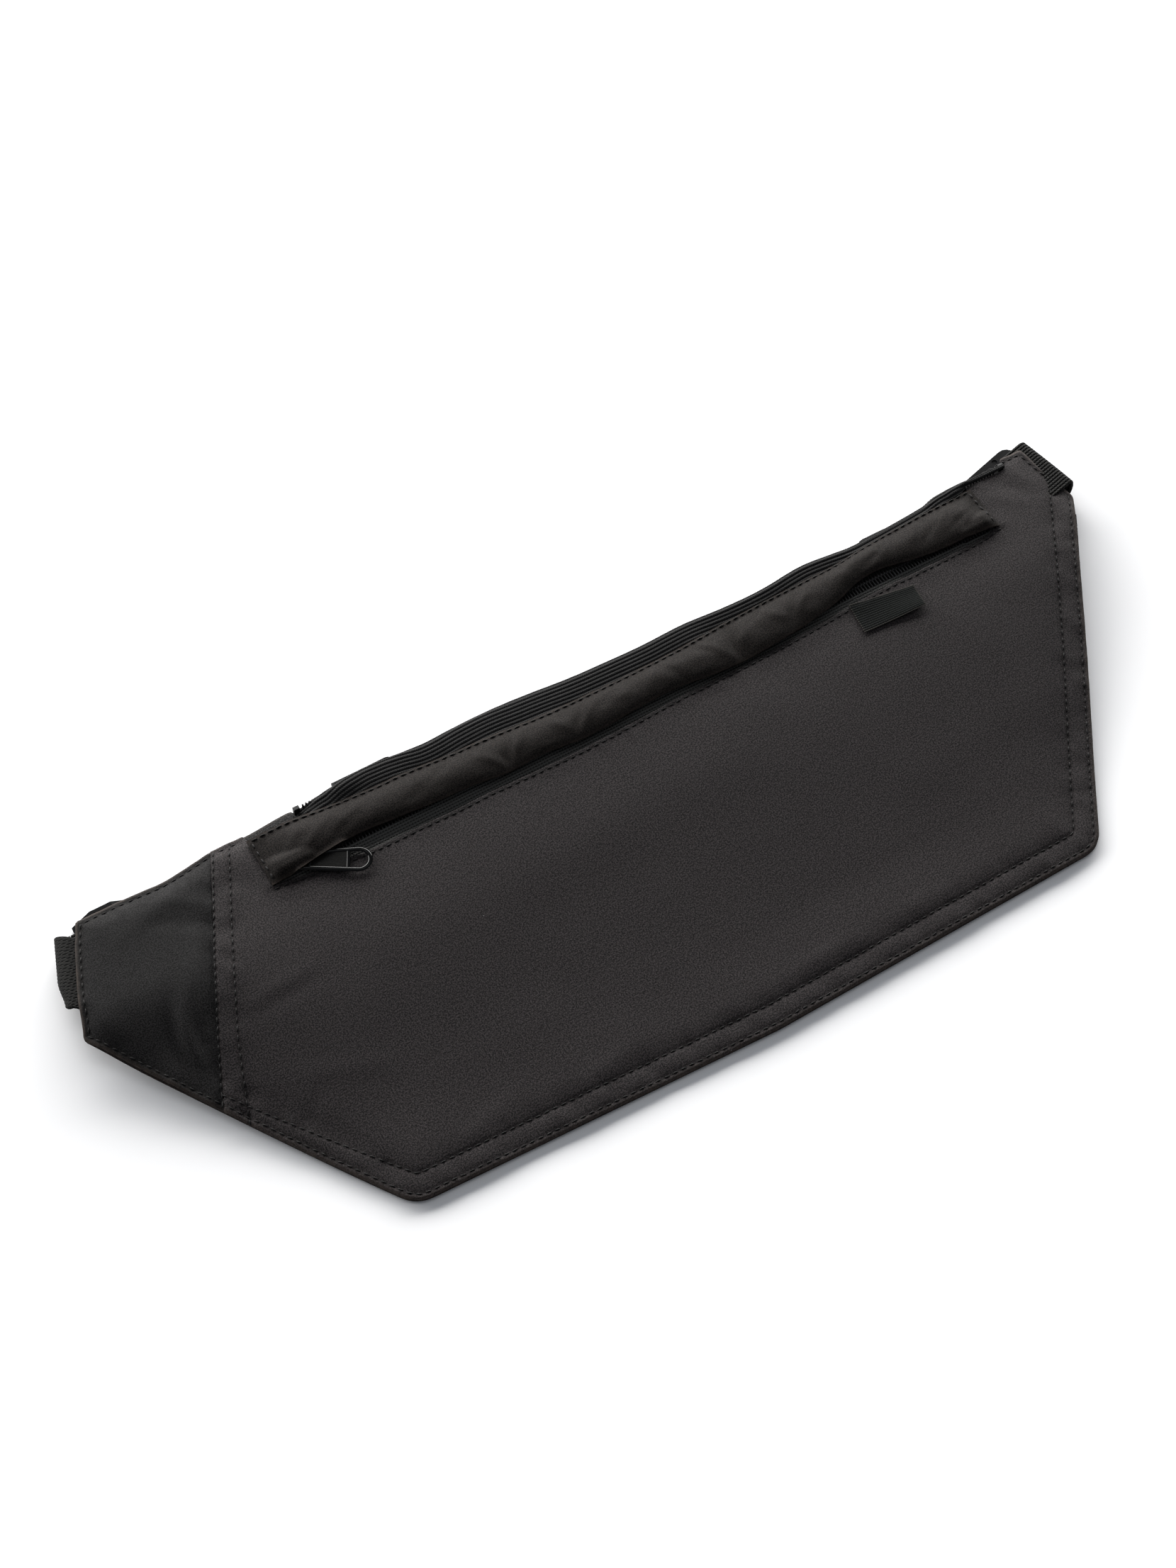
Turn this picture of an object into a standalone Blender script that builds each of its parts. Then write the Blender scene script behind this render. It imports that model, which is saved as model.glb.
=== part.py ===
"""A flat waist pouch (money belt) with two zips, a folded webbing strap and a side-release buckle.

The belt lies on its back with the strap folded behind it. +X runs along the belt to the buckle
tab, +Y towards the edge with the top zip, +Z out of the front face. Lengths here are millimetres
and angles are degrees; meshes are made in metres.
"""
import math

import bmesh
import bpy
from mathutils import Matrix, Vector

MM = 0.001
GAP = 0.3                                   # air kept between neighbouring solids
SHARP_ANGLE = 35                            # edges steeper than this stay crisp

# ---- driving dimensions ---------------------------------------------------------------------
# Pouch outline: corner points of the sewn shape, clockwise from the wing's top corner.
WING_TOP = (-188.0, 70.0)
WING_TIP = (-205.0, 28.5)
BOTTOM_LEFT = (-137.5, -72.5)
BOTTOM_RIGHT = (124.0, -75.5)
BOTTOM_MIDDLE = (-6.0, -78.3)
RIGHT_TIP = (201.7, 47.3)
RIGHT_TOP = (194.5, 73.5)
MIDDLE = (0.67, 0.44)                       # middle of the whole belt's footprint: the origin
BOTTOM_CORNER_R = 11.0
TIP_R = 3.5
SEAM_TOP = (-137.5, 70.6)                   # line that joins the wing panel to the front panel
SEAM_BOTTOM = (-176.0, -16.0)
TOP_EDGE_Y = 68.1                           # panel edges along the top zip
TOP_EDGE_SHOULDER_Y = 70.3                  # panel edge beyond the top zip's left end

# Drape: the pouch lies over the strap near its top edge and comes down to the floor below it.
STRAP_SPACE = 8.0                           # height of the back panel over the strap
DRAPE_TOP_Y = 36.0
DRAPE_FLOOR_Y = -62.0
DRAPE_STEPS = 9

# Heights above the back panel's outer face.
BACK_Z = (0.0, 0.7)
DIVIDER_Z = (1.0, 1.3)
FACING_Z = (1.05, 3.25)
ANCHOR_Z = (1.6, 2.7)
FRONT_Z = (3.6, 4.2)
SURFACE_Z = 4.5                             # trim that lies on the front panel starts here

# Layers inside the border, as distances in from the outline.
DIVIDER_MARGIN = 10.5
FACING_MARGINS = (0.7, 9.5)
FACING_TOP_Y = 40.0                         # the facing stops below the strap and the tab
SEAM_MARGIN = 3.0                           # inner layers stop this far from the wing seam

# Webbing.
WEB_WIDTH = 25.0
WEB_THICK = 1.1
STRAP_TILT = 20.5                           # fold line's lean from +Y at the wing
TAB_TILT = 14.0                             # buckle tab's lean from +X
STRAP_FOLD_AT = (-196.4, 55.0)              # middle of the left fold's axis
TAB_FOLD_AT = (198.7, 63.9)                 # middle of the right fold's axis
RUN_Z = 2.35                                # middle of the strap's main run
RETURN_Z = 3.75                             # middle of the run that comes back to the adjuster
TAB_RUN_Z = 1.25
ANCHOR_LENGTH = 24.0
TAB_ANCHOR_LENGTH = 9.0
FOLD_STEPS = 12
SIDESTEP = 3.0                              # the strap steps this far to -Y on its way to the plug
SIDESTEP_X = (84.0, 104.0)
SIDESTEP_STEPS = 5

# Zips.
FRONT_ZIP_X = (-122.5, 164.5)
FRONT_ZIP_Y = 51.5
FRONT_SLOT = (-124.0, 166.0, 43.5, 57.0)    # opening in the front panel
TOP_ZIP_X = (-105.0, 183.0)
TOP_ZIP_Y = 70.2
TAPE_THICK = 0.4
TAPE_REACH = 13.5                           # tape's outer edge from the chain's middle
COIL_THICK = 1.2
COIL_HALF_GAP = 0.6                         # half the slot between the two coils
SLIDER_WALL = 0.6
SLIDER_TAPER = 0.72                         # width of a slider's tail over its greatest width
BAIL_REACH = 3.5
BAIL_HALF = 0.7
STOP_LENGTH = 2.2
FRONT_SLIDER_X = -117.0
TOP_SLIDER_X = -87.0

# Flap over the front zip: its section from the seam to the free edge, as (y, height).
FLAP_X = (-126.0, 167.0)
FLAP_SECTION = ((64.2, 12.5), (61.5, 12.9), (58.0, 14.6), (54.5, 15.35), (50.0, 15.5), (47.5, 15.1))
FLAP_THICK = 0.55

# Label.
LABEL_X = (102.2, 126.6)
LABEL_Y = (33.8, 44.5)
LABEL_THICK = 0.3

# Buckle and slider hardware.
BUCKLE_HALF_WIDTH = 17.0
BUCKLE_THICK = 6.4
BUCKLE_WALL = 1.0
BAR_WIDTH = 2.6
BAR_THICK = 2.2
SLOT_END = 7.2                              # far side of the webbing slot from the bar's end
SOCKET_LENGTH = 36.0
SOCKET_START = 10.0                         # floor of the socket, from the bar's end
WINDOW = (14.6, 27.0)
PLUG_BASE = 14.0
PLUG_LENGTH = 37.0
PRONG_END = 34.0
PLUG_GAP = 1.6                              # air between plug tip and socket mouth
TRIGLIDE_X = -178.0
TRIGLIDE_LENGTH = 22.0
TRIGLIDE_RAIL = 2.6
LOOP_REACH = 10.0                           # loop's sewn end, from the middle bar
RAMP = 12.0                                 # run over which the strap spreads around the plug's bar

WEB_HALF = WEB_WIDTH / 2
STRAP_TOP_Z = STRAP_SPACE + sum(ANCHOR_Z) / 2
SIN_S, COS_S = math.sin(math.radians(STRAP_TILT)), math.cos(math.radians(STRAP_TILT))
STRAP_FOLD_R = (STRAP_TOP_Z - RUN_Z) / 2
STRAP_FOLD_Z = (STRAP_TOP_Z + RUN_Z) / 2
TAB_FOLD_R = (STRAP_TOP_Z - TAB_RUN_Z) / 2
TAB_FOLD_Z = (STRAP_TOP_Z + TAB_RUN_Z) / 2
FOLD_DRIFT = math.tan(math.radians(STRAP_TILT))
STRAP_Y = STRAP_FOLD_AT[1] + COS_S * FOLD_DRIFT * math.pi * STRAP_FOLD_R / 2
CHAIN_Z = STRAP_SPACE + sum(FRONT_Z) / 2 - 0.8
TOP_CHAIN_Z = STRAP_SPACE + FRONT_Z[1] / 2


# ---- helpers --------------------------------------------------------------------------------
def material(name, colour, roughness, metallic=0.0):
    mat = bpy.data.materials.new(name)
    mat.use_nodes = True
    shader = mat.node_tree.nodes["Principled BSDF"]
    shader.inputs["Base Color"].default_value = (*colour, 1.0)
    shader.inputs["Roughness"].default_value = roughness
    shader.inputs["Metallic"].default_value = metallic
    mat.diffuse_color = (*colour, 1.0)
    return mat


def place(x=0.0, y=0.0, z=0.0, turn=0.0):
    """A frame at a point, turned about +Z."""
    return Matrix.Translation(Vector((x, y, z)) * MM) @ Matrix.Rotation(math.radians(turn), 4, "Z")


def add(name, bm, look, frame=None):
    """Make an object from a mesh drawn in millimetres; frame puts it in the world."""
    bmesh.ops.recalc_face_normals(bm, faces=bm.faces)
    bmesh.ops.scale(bm, vec=(MM, MM, MM), verts=bm.verts)
    mesh = bpy.data.meshes.new(name)
    bm.to_mesh(mesh)
    bm.free()
    mesh.shade_smooth()
    mesh.set_sharp_from_angle(angle=math.radians(SHARP_ANGLE))
    obj = bpy.data.objects.new(name, mesh)
    obj.matrix_world = place(-MIDDLE[0], -MIDDLE[1]) @ (frame or Matrix.Identity(4))
    bpy.context.scene.collection.objects.link(obj)
    if look is not None:
        mesh.materials.append(look)
    return obj


def prism(outline, low, high, axis="Z"):
    """Extrude an outline. axis Z takes (x, y) points, axis Y takes (x, z) points."""
    bm = bmesh.new()
    if axis == "Z":
        verts = [bm.verts.new((a, b, low)) for a, b in outline]
        step = Vector((0, 0, high - low))
    else:
        verts = [bm.verts.new((a, low, b)) for a, b in outline]
        step = Vector((0, high - low, 0))
    face = bm.faces.new(verts)
    grown = bmesh.ops.extrude_face_region(bm, geom=[face])
    moved = [g for g in grown["geom"] if isinstance(g, bmesh.types.BMVert)]
    bmesh.ops.translate(bm, vec=step, verts=moved)
    return bm


def box(x0, x1, y0, y1, z0, z1):
    return prism(((x0, y0), (x1, y0), (x1, y1), (x0, y1)), z0, z1)


def rounded(points, steps=4):
    """A closed outline from (x, y, radius) corners, each rounded by an arc."""
    outline = []
    count = len(points)
    for i, (x, y, radius) in enumerate(points):
        here = Vector((x, y))
        if radius == 0:
            outline.append((x, y))
            continue
        before = (Vector(points[i - 1][:2]) - here).normalized()
        after = (Vector(points[(i + 1) % count][:2]) - here).normalized()
        half = before.angle(after) / 2
        centre = here + (before + after).normalized() * radius / math.sin(half)
        start = here + before * radius / math.tan(half) - centre
        end = here + after * radius / math.tan(half) - centre
        turn = start.angle_signed(end)
        for k in range(steps + 1):
            angle = -turn * k / steps
            spoke = Matrix.Rotation(angle, 2) @ start
            outline.append(tuple(centre + spoke))
    return outline


def arc(cx, cz, radius, start, end, steps):
    """Points on an arc, in degrees from the first axis."""
    angles = [math.radians(start + (end - start) * k / steps) for k in range(steps + 1)]
    return [(cx + radius * math.cos(a), cz + radius * math.sin(a)) for a in angles]


def ribbon(path, thickness, low, high):
    """A band of even thickness along a path of (x, z) points, extruded from y low to high."""
    points = [Vector(p) for p in path]
    left, right = [], []
    for i, point in enumerate(points):
        into = (point - points[max(i - 1, 0)]).normalized() if i else (points[1] - point).normalized()
        out = (points[min(i + 1, len(points) - 1)] - point).normalized() if i + 1 < len(points) else into
        mid = (into + out).normalized()
        side = Vector((-mid.y, mid.x)) * thickness / 2 / max(mid.dot(into), 0.5)
        left.append(tuple(point + side))
        right.append(tuple(point - side))
    return prism(left + right[::-1], low, high, axis="Y")


def combine(base, tools, operation):
    """Boolean each tool into base with the exact solver, then drop the tools."""
    for tool in tools:
        mod = base.modifiers.new(operation.lower(), "BOOLEAN")
        mod.operation = operation
        mod.solver = "EXACT"
        mod.object = tool
    bpy.context.view_layer.update()
    shape = base.evaluated_get(bpy.context.evaluated_depsgraph_get())
    mesh = bpy.data.meshes.new_from_object(shape)
    base.modifiers.clear()
    base.data = mesh
    mesh.shade_smooth()
    mesh.set_sharp_from_angle(angle=math.radians(SHARP_ANGLE))
    for tool in tools:
        bpy.data.objects.remove(tool)
    return base


def tools_of(*meshes, frame=None):
    return [add(f"tool_{i}", bm, None, frame) for i, bm in enumerate(meshes)]


def soften(obj, width, segments=2, angle=40):
    """Round the sharp edges of a moulded piece."""
    mod = obj.modifiers.new("edges", "BEVEL")
    mod.width = width * MM
    mod.segments = segments
    mod.limit_method = "ANGLE"
    mod.angle_limit = math.radians(angle)
    mod.use_clamp_overlap = True


# ---- pouch layers ---------------------------------------------------------------------------
def drape(y):
    """Height of the back panel's outer face at a distance along +Y."""
    t = (y - DRAPE_FLOOR_Y) / (DRAPE_TOP_Y - DRAPE_FLOOR_Y)
    t = min(max(t, 0.0), 1.0)
    return STRAP_SPACE * t * t * (3 - 2 * t)


def pouch_outline():
    """The sewn outline, with the top zip's recess in the upper edge."""
    zip_left, zip_right = TOP_ZIP_X[0] - 1.5, TOP_ZIP_X[1] + 1.5
    shoulder_right = RIGHT_TOP[1] - 0.5
    corners = (
        (*WING_TOP, 0), (zip_left, TOP_EDGE_SHOULDER_Y, 0), (zip_left, TOP_EDGE_Y, 0),
        (zip_right, TOP_EDGE_Y, 0), (zip_right, shoulder_right, 0), (*RIGHT_TOP, 0),
        (*RIGHT_TIP, TIP_R), (*BOTTOM_RIGHT, BOTTOM_CORNER_R), (*BOTTOM_MIDDLE, 0),
        (*BOTTOM_LEFT, BOTTOM_CORNER_R), (*WING_TIP, 1.5))
    return rounded(corners)


def cut(bm, point, normal, keep=None):
    """Split a flat sheet along a line; keep 'back' or 'front' of the normal, or both."""
    geom = bm.verts[:] + bm.edges[:] + bm.faces[:]
    bmesh.ops.bisect_plane(
        bm, geom=geom, plane_co=(*point, 0), plane_no=(*normal, 0), dist=1e-5,
        clear_outer=keep == "back", clear_inner=keep == "front")


def sheet(outline):
    bm = bmesh.new()
    bm.faces.new([bm.verts.new((x, y, 0)) for x, y in outline])
    return bm


def layer(name, bm, low, high, look):
    """Drape a flat sheet over the strap and give it thickness."""
    span = DRAPE_TOP_Y - DRAPE_FLOOR_Y
    for k in range(DRAPE_STEPS + 1):
        cut(bm, (0, DRAPE_FLOOR_Y + span * k / DRAPE_STEPS), (0, 1))
    bmesh.ops.triangulate(bm, faces=bm.faces)
    for vert in bm.verts:
        vert.co.z = drape(vert.co.y) + low
    grown = bmesh.ops.extrude_face_region(bm, geom=bm.faces[:])
    moved = [g for g in grown["geom"] if isinstance(g, bmesh.types.BMVert)]
    bmesh.ops.translate(bm, vec=(0, 0, high - low), verts=moved)
    return add(name, bm, look)


def seam_line():
    top, bottom = Vector(SEAM_TOP), Vector(SEAM_BOTTOM)
    along = (top - bottom).normalized()
    return top, Vector((along.y, -along.x))


def inset_line(a, b, distance):
    """The line through two outline points, moved inwards (to the left of a to b)."""
    along = (Vector(b) - Vector(a)).normalized()
    normal = Vector((-along.y, along.x))
    return Vector(a) + normal * distance, normal


def make_panels(looks):
    seam, across = seam_line()
    layer("back_panel", sheet(pouch_outline()), *BACK_Z, looks["backing"])

    wing = sheet(pouch_outline())
    cut(wing, seam - across * GAP / 2, across, keep="back")
    layer("wing_panel", wing, *FRONT_Z, looks["shell"])

    front = sheet(pouch_outline())
    cut(front, seam + across * GAP / 2, across, keep="front")
    x0, x1, y0, y1 = FRONT_SLOT
    for point, normal in (((x0, 0), (1, 0)), ((x1, 0), (1, 0)), ((0, y0), (0, 1)), ((0, y1), (0, 1))):
        cut(front, point, normal)
    opening = []
    for face in front.faces:
        middle = face.calc_center_median()
        if x0 < middle.x < x1 and y0 < middle.y < y1:
            opening.append(face)
    bmesh.ops.delete(front, geom=opening, context="FACES")
    layer("front_panel", front, *FRONT_Z, looks["shell"])

    divider = sheet(pouch_outline())
    cut(divider, seam + across * SEAM_MARGIN, across, keep="front")
    for a, b, distance in border_lines(DIVIDER_MARGIN):
        cut(divider, *inset_line(a, b, distance), keep="front")
    cut(divider, (TOP_ZIP_X[1], 0), (1, 0), keep="back")
    layer("pocket_divider", divider, *DIVIDER_Z, looks["lining"])

    facing = sheet(pouch_outline())
    cut(facing, seam + across * SEAM_MARGIN, across, keep="front")
    cut(facing, (0, FACING_TOP_Y), (0, 1), keep="back")
    outer_lines, inner_lines = (border_lines(margin) for margin in FACING_MARGINS)
    for a, b, distance in outer_lines:
        cut(facing, *inset_line(a, b, distance), keep="front")
    for a, b, distance in inner_lines:
        cut(facing, *inset_line(a, b, distance))
    inner = []
    for face in facing.faces:
        middle = face.calc_center_median()
        if all(beyond(middle, *line) for line in inner_lines):
            inner.append(face)
    bmesh.ops.delete(facing, geom=inner, context="FACES")
    layer("border_facing", facing, *FACING_Z, looks["shell"])


def border_lines(distance):
    """Edges that carry the double-stitched border, each as two points and an inset."""
    return ((WING_TIP, BOTTOM_LEFT, distance), (BOTTOM_LEFT, BOTTOM_MIDDLE, distance),
            (BOTTOM_MIDDLE, BOTTOM_RIGHT, distance), (BOTTOM_RIGHT, RIGHT_TIP, distance))


def beyond(point, a, b, distance):
    origin, normal = inset_line(a, b, distance)
    return (Vector(point[:2]) - origin).dot(normal) > 0


def make_flap(looks):
    section = [Vector(p) for p in FLAP_SECTION]
    under = [tuple(p) for p in section]
    over = [(y, z + FLAP_THICK) for y, z in FLAP_SECTION]
    bm = prism(under + over[::-1], FLAP_X[0], FLAP_X[1], axis="Y")
    for vert in bm.verts:
        y, x, z = vert.co
        vert.co = (x, y, z)
    add("zip_flap", bm, looks["flap"])


def make_label(looks):
    hinge_z = STRAP_SPACE + SURFACE_Z + LABEL_THICK / 2
    middle = (LABEL_X[0] + LABEL_X[1]) / 2
    half = (LABEL_X[1] - LABEL_X[0]) / 2
    bm = box(-half, half, LABEL_Y[0] - LABEL_Y[1], 0, -LABEL_THICK / 2, LABEL_THICK / 2)
    add("woven_label", bm, looks["label"], place(middle, LABEL_Y[1], hinge_z))


# ---- zips -----------------------------------------------------------------------------------
def slider_body(half_width, length, coil_half, bail_height):
    """A zip slider around a chain that runs along its own X; the pull side is +Z."""
    inner = COIL_THICK / 2 + GAP
    outer = inner + SLIDER_WALL
    nose = length / 2
    tail = half_width * SLIDER_TAPER
    plate = rounded(((-nose, -tail, 1.2), (nose * 0.2, -half_width, 1.6),
                     (nose, -half_width * 0.8, 1.8), (nose, half_width * 0.8, 1.8),
                     (nose * 0.2, half_width, 1.6), (-nose, tail, 1.2)), steps=2)
    near = coil_half + GAP
    far = near + min(half_width - near, half_width * SLIDER_TAPER - coil_half)
    slot = TAPE_THICK / 2 + GAP
    sides = []
    for sign in (-1, 1):
        y0, y1 = sorted((sign * near, sign * far))
        sides.append(box(-nose * 0.8, nose * 0.5, y0, y1, slot, inner + 0.2))
        sides.append(box(-nose * 0.8, nose * 0.5, y0, y1, -inner - 0.2, -slot))
    web = box(nose * 0.2, nose * 0.85, -COIL_HALF_GAP + GAP, COIL_HALF_GAP - GAP, -inner - 0.2, inner + 0.2)
    top = outer + bail_height
    bail = [box(-BAIL_REACH, BAIL_REACH, -BAIL_HALF, BAIL_HALF, top - 0.6, top)]
    for x in (-BAIL_REACH, BAIL_REACH - 1.2):
        bail.append(box(x, x + 1.2, -BAIL_HALF, BAIL_HALF, outer - 0.2, top - 0.3))
    return [prism(plate, inner, outer), prism(plate, -outer, -inner), *sides, web, *bail]


def make_slider(name, frame, look, half_width, length, coil_half, bail_height):
    first, *rest = slider_body(half_width, length, coil_half, bail_height)
    obj = add(name, first, look, frame)
    combine(obj, tools_of(*rest, frame=frame), "UNION")
    return obj


def make_pull(name, frame, look, length, root_half, tip_half, thick):
    """A teardrop pull: a cross bar at its origin, a thin web and a round hole at its far end."""
    tip = length - tip_half
    lean = math.degrees(math.atan2(tip_half - root_half, tip))
    outer = [(-0.5, root_half), (-0.5, -root_half)]
    outer += arc(tip, 0, tip_half, -90 - lean, 90 + lean, 12)
    body = add(name, prism(outer, -thick / 2, thick / 2), look, frame)
    rim = 1.15
    hole_r = tip_half - rim
    flat = tip - tip_half * 0.75
    width = hole_r * 0.98
    hole = [(flat, width), (flat, -width)] + arc(tip, 0, hole_r, -80, 80, 8)
    window = ((0.5, -root_half + 1.15), (4.4, -root_half + 1.0),
              (4.4, root_half - 1.0), (0.5, root_half - 1.15))
    dish = ((5.2, -root_half + 0.75), (flat - 0.9, -hole_r), (flat - 0.9, hole_r), (5.2, root_half - 0.75))
    deep = thick / 2 - 0.22
    tools = tools_of(prism(hole, -thick, thick), prism(window, -thick, thick),
                     prism(dish, deep, thick), prism(dish, -thick, -deep), frame=frame)
    combine(body, tools, "DIFFERENCE")
    return body


def make_front_zip(looks):
    x0, x1 = FRONT_ZIP_X
    half = 3.1
    for side, sign in (("lower", -1), ("upper", 1)):
        near, far = sorted((sign * COIL_HALF_GAP, sign * half))
        coil = box(x0 + 1, x1 - 1, near, far, -COIL_THICK / 2, COIL_THICK / 2)
        add(f"front_zip_coil_{side}", coil, looks["coil"], place(0, FRONT_ZIP_Y, CHAIN_Z))
        near, far = sorted((sign * (half + GAP), sign * TAPE_REACH))
        tape = box(x0 - 1, x1 + 1, near, far, -TAPE_THICK / 2, TAPE_THICK / 2)
        add(f"front_zip_tape_{side}", tape, looks["tape"], place(0, FRONT_ZIP_Y, CHAIN_Z))
    for side, x in (("left", x0 - STOP_LENGTH + 0.7), ("right", x1 - 0.7)):
        stop = box(x, x + STOP_LENGTH, -half, half, -0.75, 0.75)
        add(f"front_zip_stop_{side}", stop, looks["stop"], place(0, FRONT_ZIP_Y, CHAIN_Z))
    make_slider("front_zip_slider", place(FRONT_SLIDER_X, FRONT_ZIP_Y, CHAIN_Z), looks["hardware"],
                half_width=4.2, length=9.6, coil_half=half, bail_height=2.4)
    make_pull("front_zip_pull", place(FRONT_SLIDER_X + 1.1, FRONT_ZIP_Y, CHAIN_Z + 2.5, -28.0),
              looks["pull"], length=26.0, root_half=3.3, tip_half=4.75, thick=1.0)


def make_top_zip(looks):
    """The top zip's chain stands on edge, so its slider faces +Y."""
    x0, x1 = TOP_ZIP_X
    half = 2.1
    upright = Matrix.Rotation(math.radians(-90), 4, "X")
    for side, sign in (("back", 1), ("front", -1)):
        near, far = sorted((sign * COIL_HALF_GAP, sign * half))
        coil = box(x0 + 1, x1 - 1, near, far, -COIL_THICK / 2, COIL_THICK / 2)
        add(f"top_zip_coil_{side}", coil, looks["coil"], place(0, TOP_ZIP_Y, TOP_CHAIN_Z) @ upright)
    for side, x in (("left", x0 - STOP_LENGTH + 0.7), ("right", x1 - 0.7)):
        stop = box(x, x + STOP_LENGTH, -half, half, -0.75, 0.75)
        add(f"top_zip_stop_{side}", stop, looks["stop"], place(0, TOP_ZIP_Y, TOP_CHAIN_Z) @ upright)
    for side, z in (("front", STRAP_SPACE + SURFACE_Z), ("back", STRAP_SPACE + DIVIDER_Z[1] + GAP)):
        y0 = FLAP_SECTION[0][0] + GAP
        if side == "back":
            y0 = TOP_EDGE_Y - 3.0
        tape = box(x0 - 1, x1 + 1, y0, TOP_EDGE_Y, z, z + TAPE_THICK)
        add(f"top_zip_tape_{side}", tape, looks["tape"])
    make_slider("top_zip_slider", place(TOP_SLIDER_X, TOP_ZIP_Y, TOP_CHAIN_Z) @ upright, looks["hardware"],
                half_width=3.1, length=8.2, coil_half=half, bail_height=1.9)
    make_pull("top_zip_pull", place(TOP_SLIDER_X + 1.1, TOP_ZIP_Y + 2.15, TOP_CHAIN_Z) @ upright,
              looks["pull"], length=18.0, root_half=2.4, tip_half=2.6, thick=0.7)


# ---- strap ----------------------------------------------------------------------------------
def fold_point(p, q, offset):
    """A point of the strap near its left fold, from distances across (p) and along (q) the fold.

    p is negative on the layer sewn into the wing, 0 to pi r round the fold, and more beyond it.
    """
    out = Vector((-COS_S, SIN_S))
    along = Vector((SIN_S, COS_S))
    radius = STRAP_FOLD_R + offset
    angle = min(max(p / STRAP_FOLD_R, 0.0), math.pi)
    reach = radius * math.sin(angle) + min(p, 0.0) - max(p - math.pi * STRAP_FOLD_R, 0.0)
    flat = Vector(STRAP_FOLD_AT) + out * reach + along * q
    return flat.x, flat.y, STRAP_FOLD_Z + radius * math.cos(angle)


def fold_strip(start, end, steps):
    """The strap between two distances across the fold; its edges drift along the fold line."""
    bm = bmesh.new()
    rings = []
    for k in range(steps + 1):
        p = start + (end - start) * k / steps
        q = FOLD_DRIFT * (p - math.pi * STRAP_FOLD_R / 2)
        edge = WEB_HALF / COS_S
        corners = ((q - edge, -1), (q + edge, -1), (q + edge, 1), (q - edge, 1))
        rings.append([bm.verts.new(fold_point(p, c, s * WEB_THICK / 2)) for c, s in corners])
    for a, b in zip(rings, rings[1:]):
        for i in range(4):
            j = (i + 1) % 4
            bm.faces.new((a[i], a[j], b[j], b[i]))
    bm.faces.new(rings[0])
    bm.faces.new(rings[-1][::-1])
    return bm


def bar_wrap(bar_from, bar_to, low, high, steps=6):
    """Half turn of webbing round the far side of a bar, from its low side to its high side."""
    radius = (high - low) / 2
    return arc(max(bar_to - radius * 0.35, bar_from), (low + high) / 2, radius, -90, 90, steps)


def sidestep(x):
    """How far the strap has moved sideways at a place along it."""
    t = (x - SIDESTEP_X[0]) / (SIDESTEP_X[1] - SIDESTEP_X[0])
    t = min(max(t, 0.0), 1.0)
    return -SIDESTEP * t * t * (3 - 2 * t)


def make_strap(looks, plug_x):
    add("strap_anchor", fold_strip(-ANCHOR_LENGTH, -GAP / 2, 1), looks["webbing"])
    turn = math.pi * STRAP_FOLD_R
    add("strap_fold", fold_strip(GAP / 2, turn - GAP / 2, FOLD_STEPS), looks["webbing"])

    start = STRAP_FOLD_AT[0]
    low = BUCKLE_THICK / 2 - BAR_THICK / 2 - GAP - WEB_THICK / 2
    high = BUCKLE_THICK - low
    span = SIDESTEP_X[1] - SIDESTEP_X[0]
    bends = [SIDESTEP_X[0] + span * k / SIDESTEP_STEPS for k in range(SIDESTEP_STEPS + 1)]
    return_end = plug_x - RAMP - 6.0
    run = ribbon([(start, RUN_Z), (bends[0] - GAP, RUN_Z)], WEB_THICK, -WEB_HALF, WEB_HALF)
    for vert in run.verts:
        if vert.co.x < start + 1:
            lean = FOLD_DRIFT * (STRAP_Y + vert.co.y - STRAP_FOLD_AT[1])
            vert.co.x += lean + GAP / 2
    add("strap_webbing", run, looks["webbing"], place(0, STRAP_Y))

    path = [(x, RUN_Z) for x in bends] + [(plug_x - RAMP, RUN_Z), (plug_x - 1.5, low)]
    path += bar_wrap(plug_x, plug_x + BAR_WIDTH, low, high)
    path += [(plug_x - 1.5, high), (plug_x - RAMP, RETURN_Z), (return_end, RETURN_Z)]
    turn_back = ribbon(path, WEB_THICK, -WEB_HALF, WEB_HALF)
    for vert in turn_back.verts:
        vert.co.y += sidestep(vert.co.x)
    add("strap_plug_end", turn_back, looks["webbing"], place(0, STRAP_Y))

    loop_end = TRIGLIDE_X + LOOP_REACH
    path = [(loop_end + GAP, RETURN_Z)] + [(x, RETURN_Z) for x in bends[:-1]] + [(return_end - GAP, RETURN_Z)]
    back = ribbon(path, WEB_THICK, -WEB_HALF, WEB_HALF)
    for vert in back.verts:
        vert.co.y += sidestep(vert.co.x)
    add("strap_return_run", back, looks["webbing"], place(0, STRAP_Y))


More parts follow.
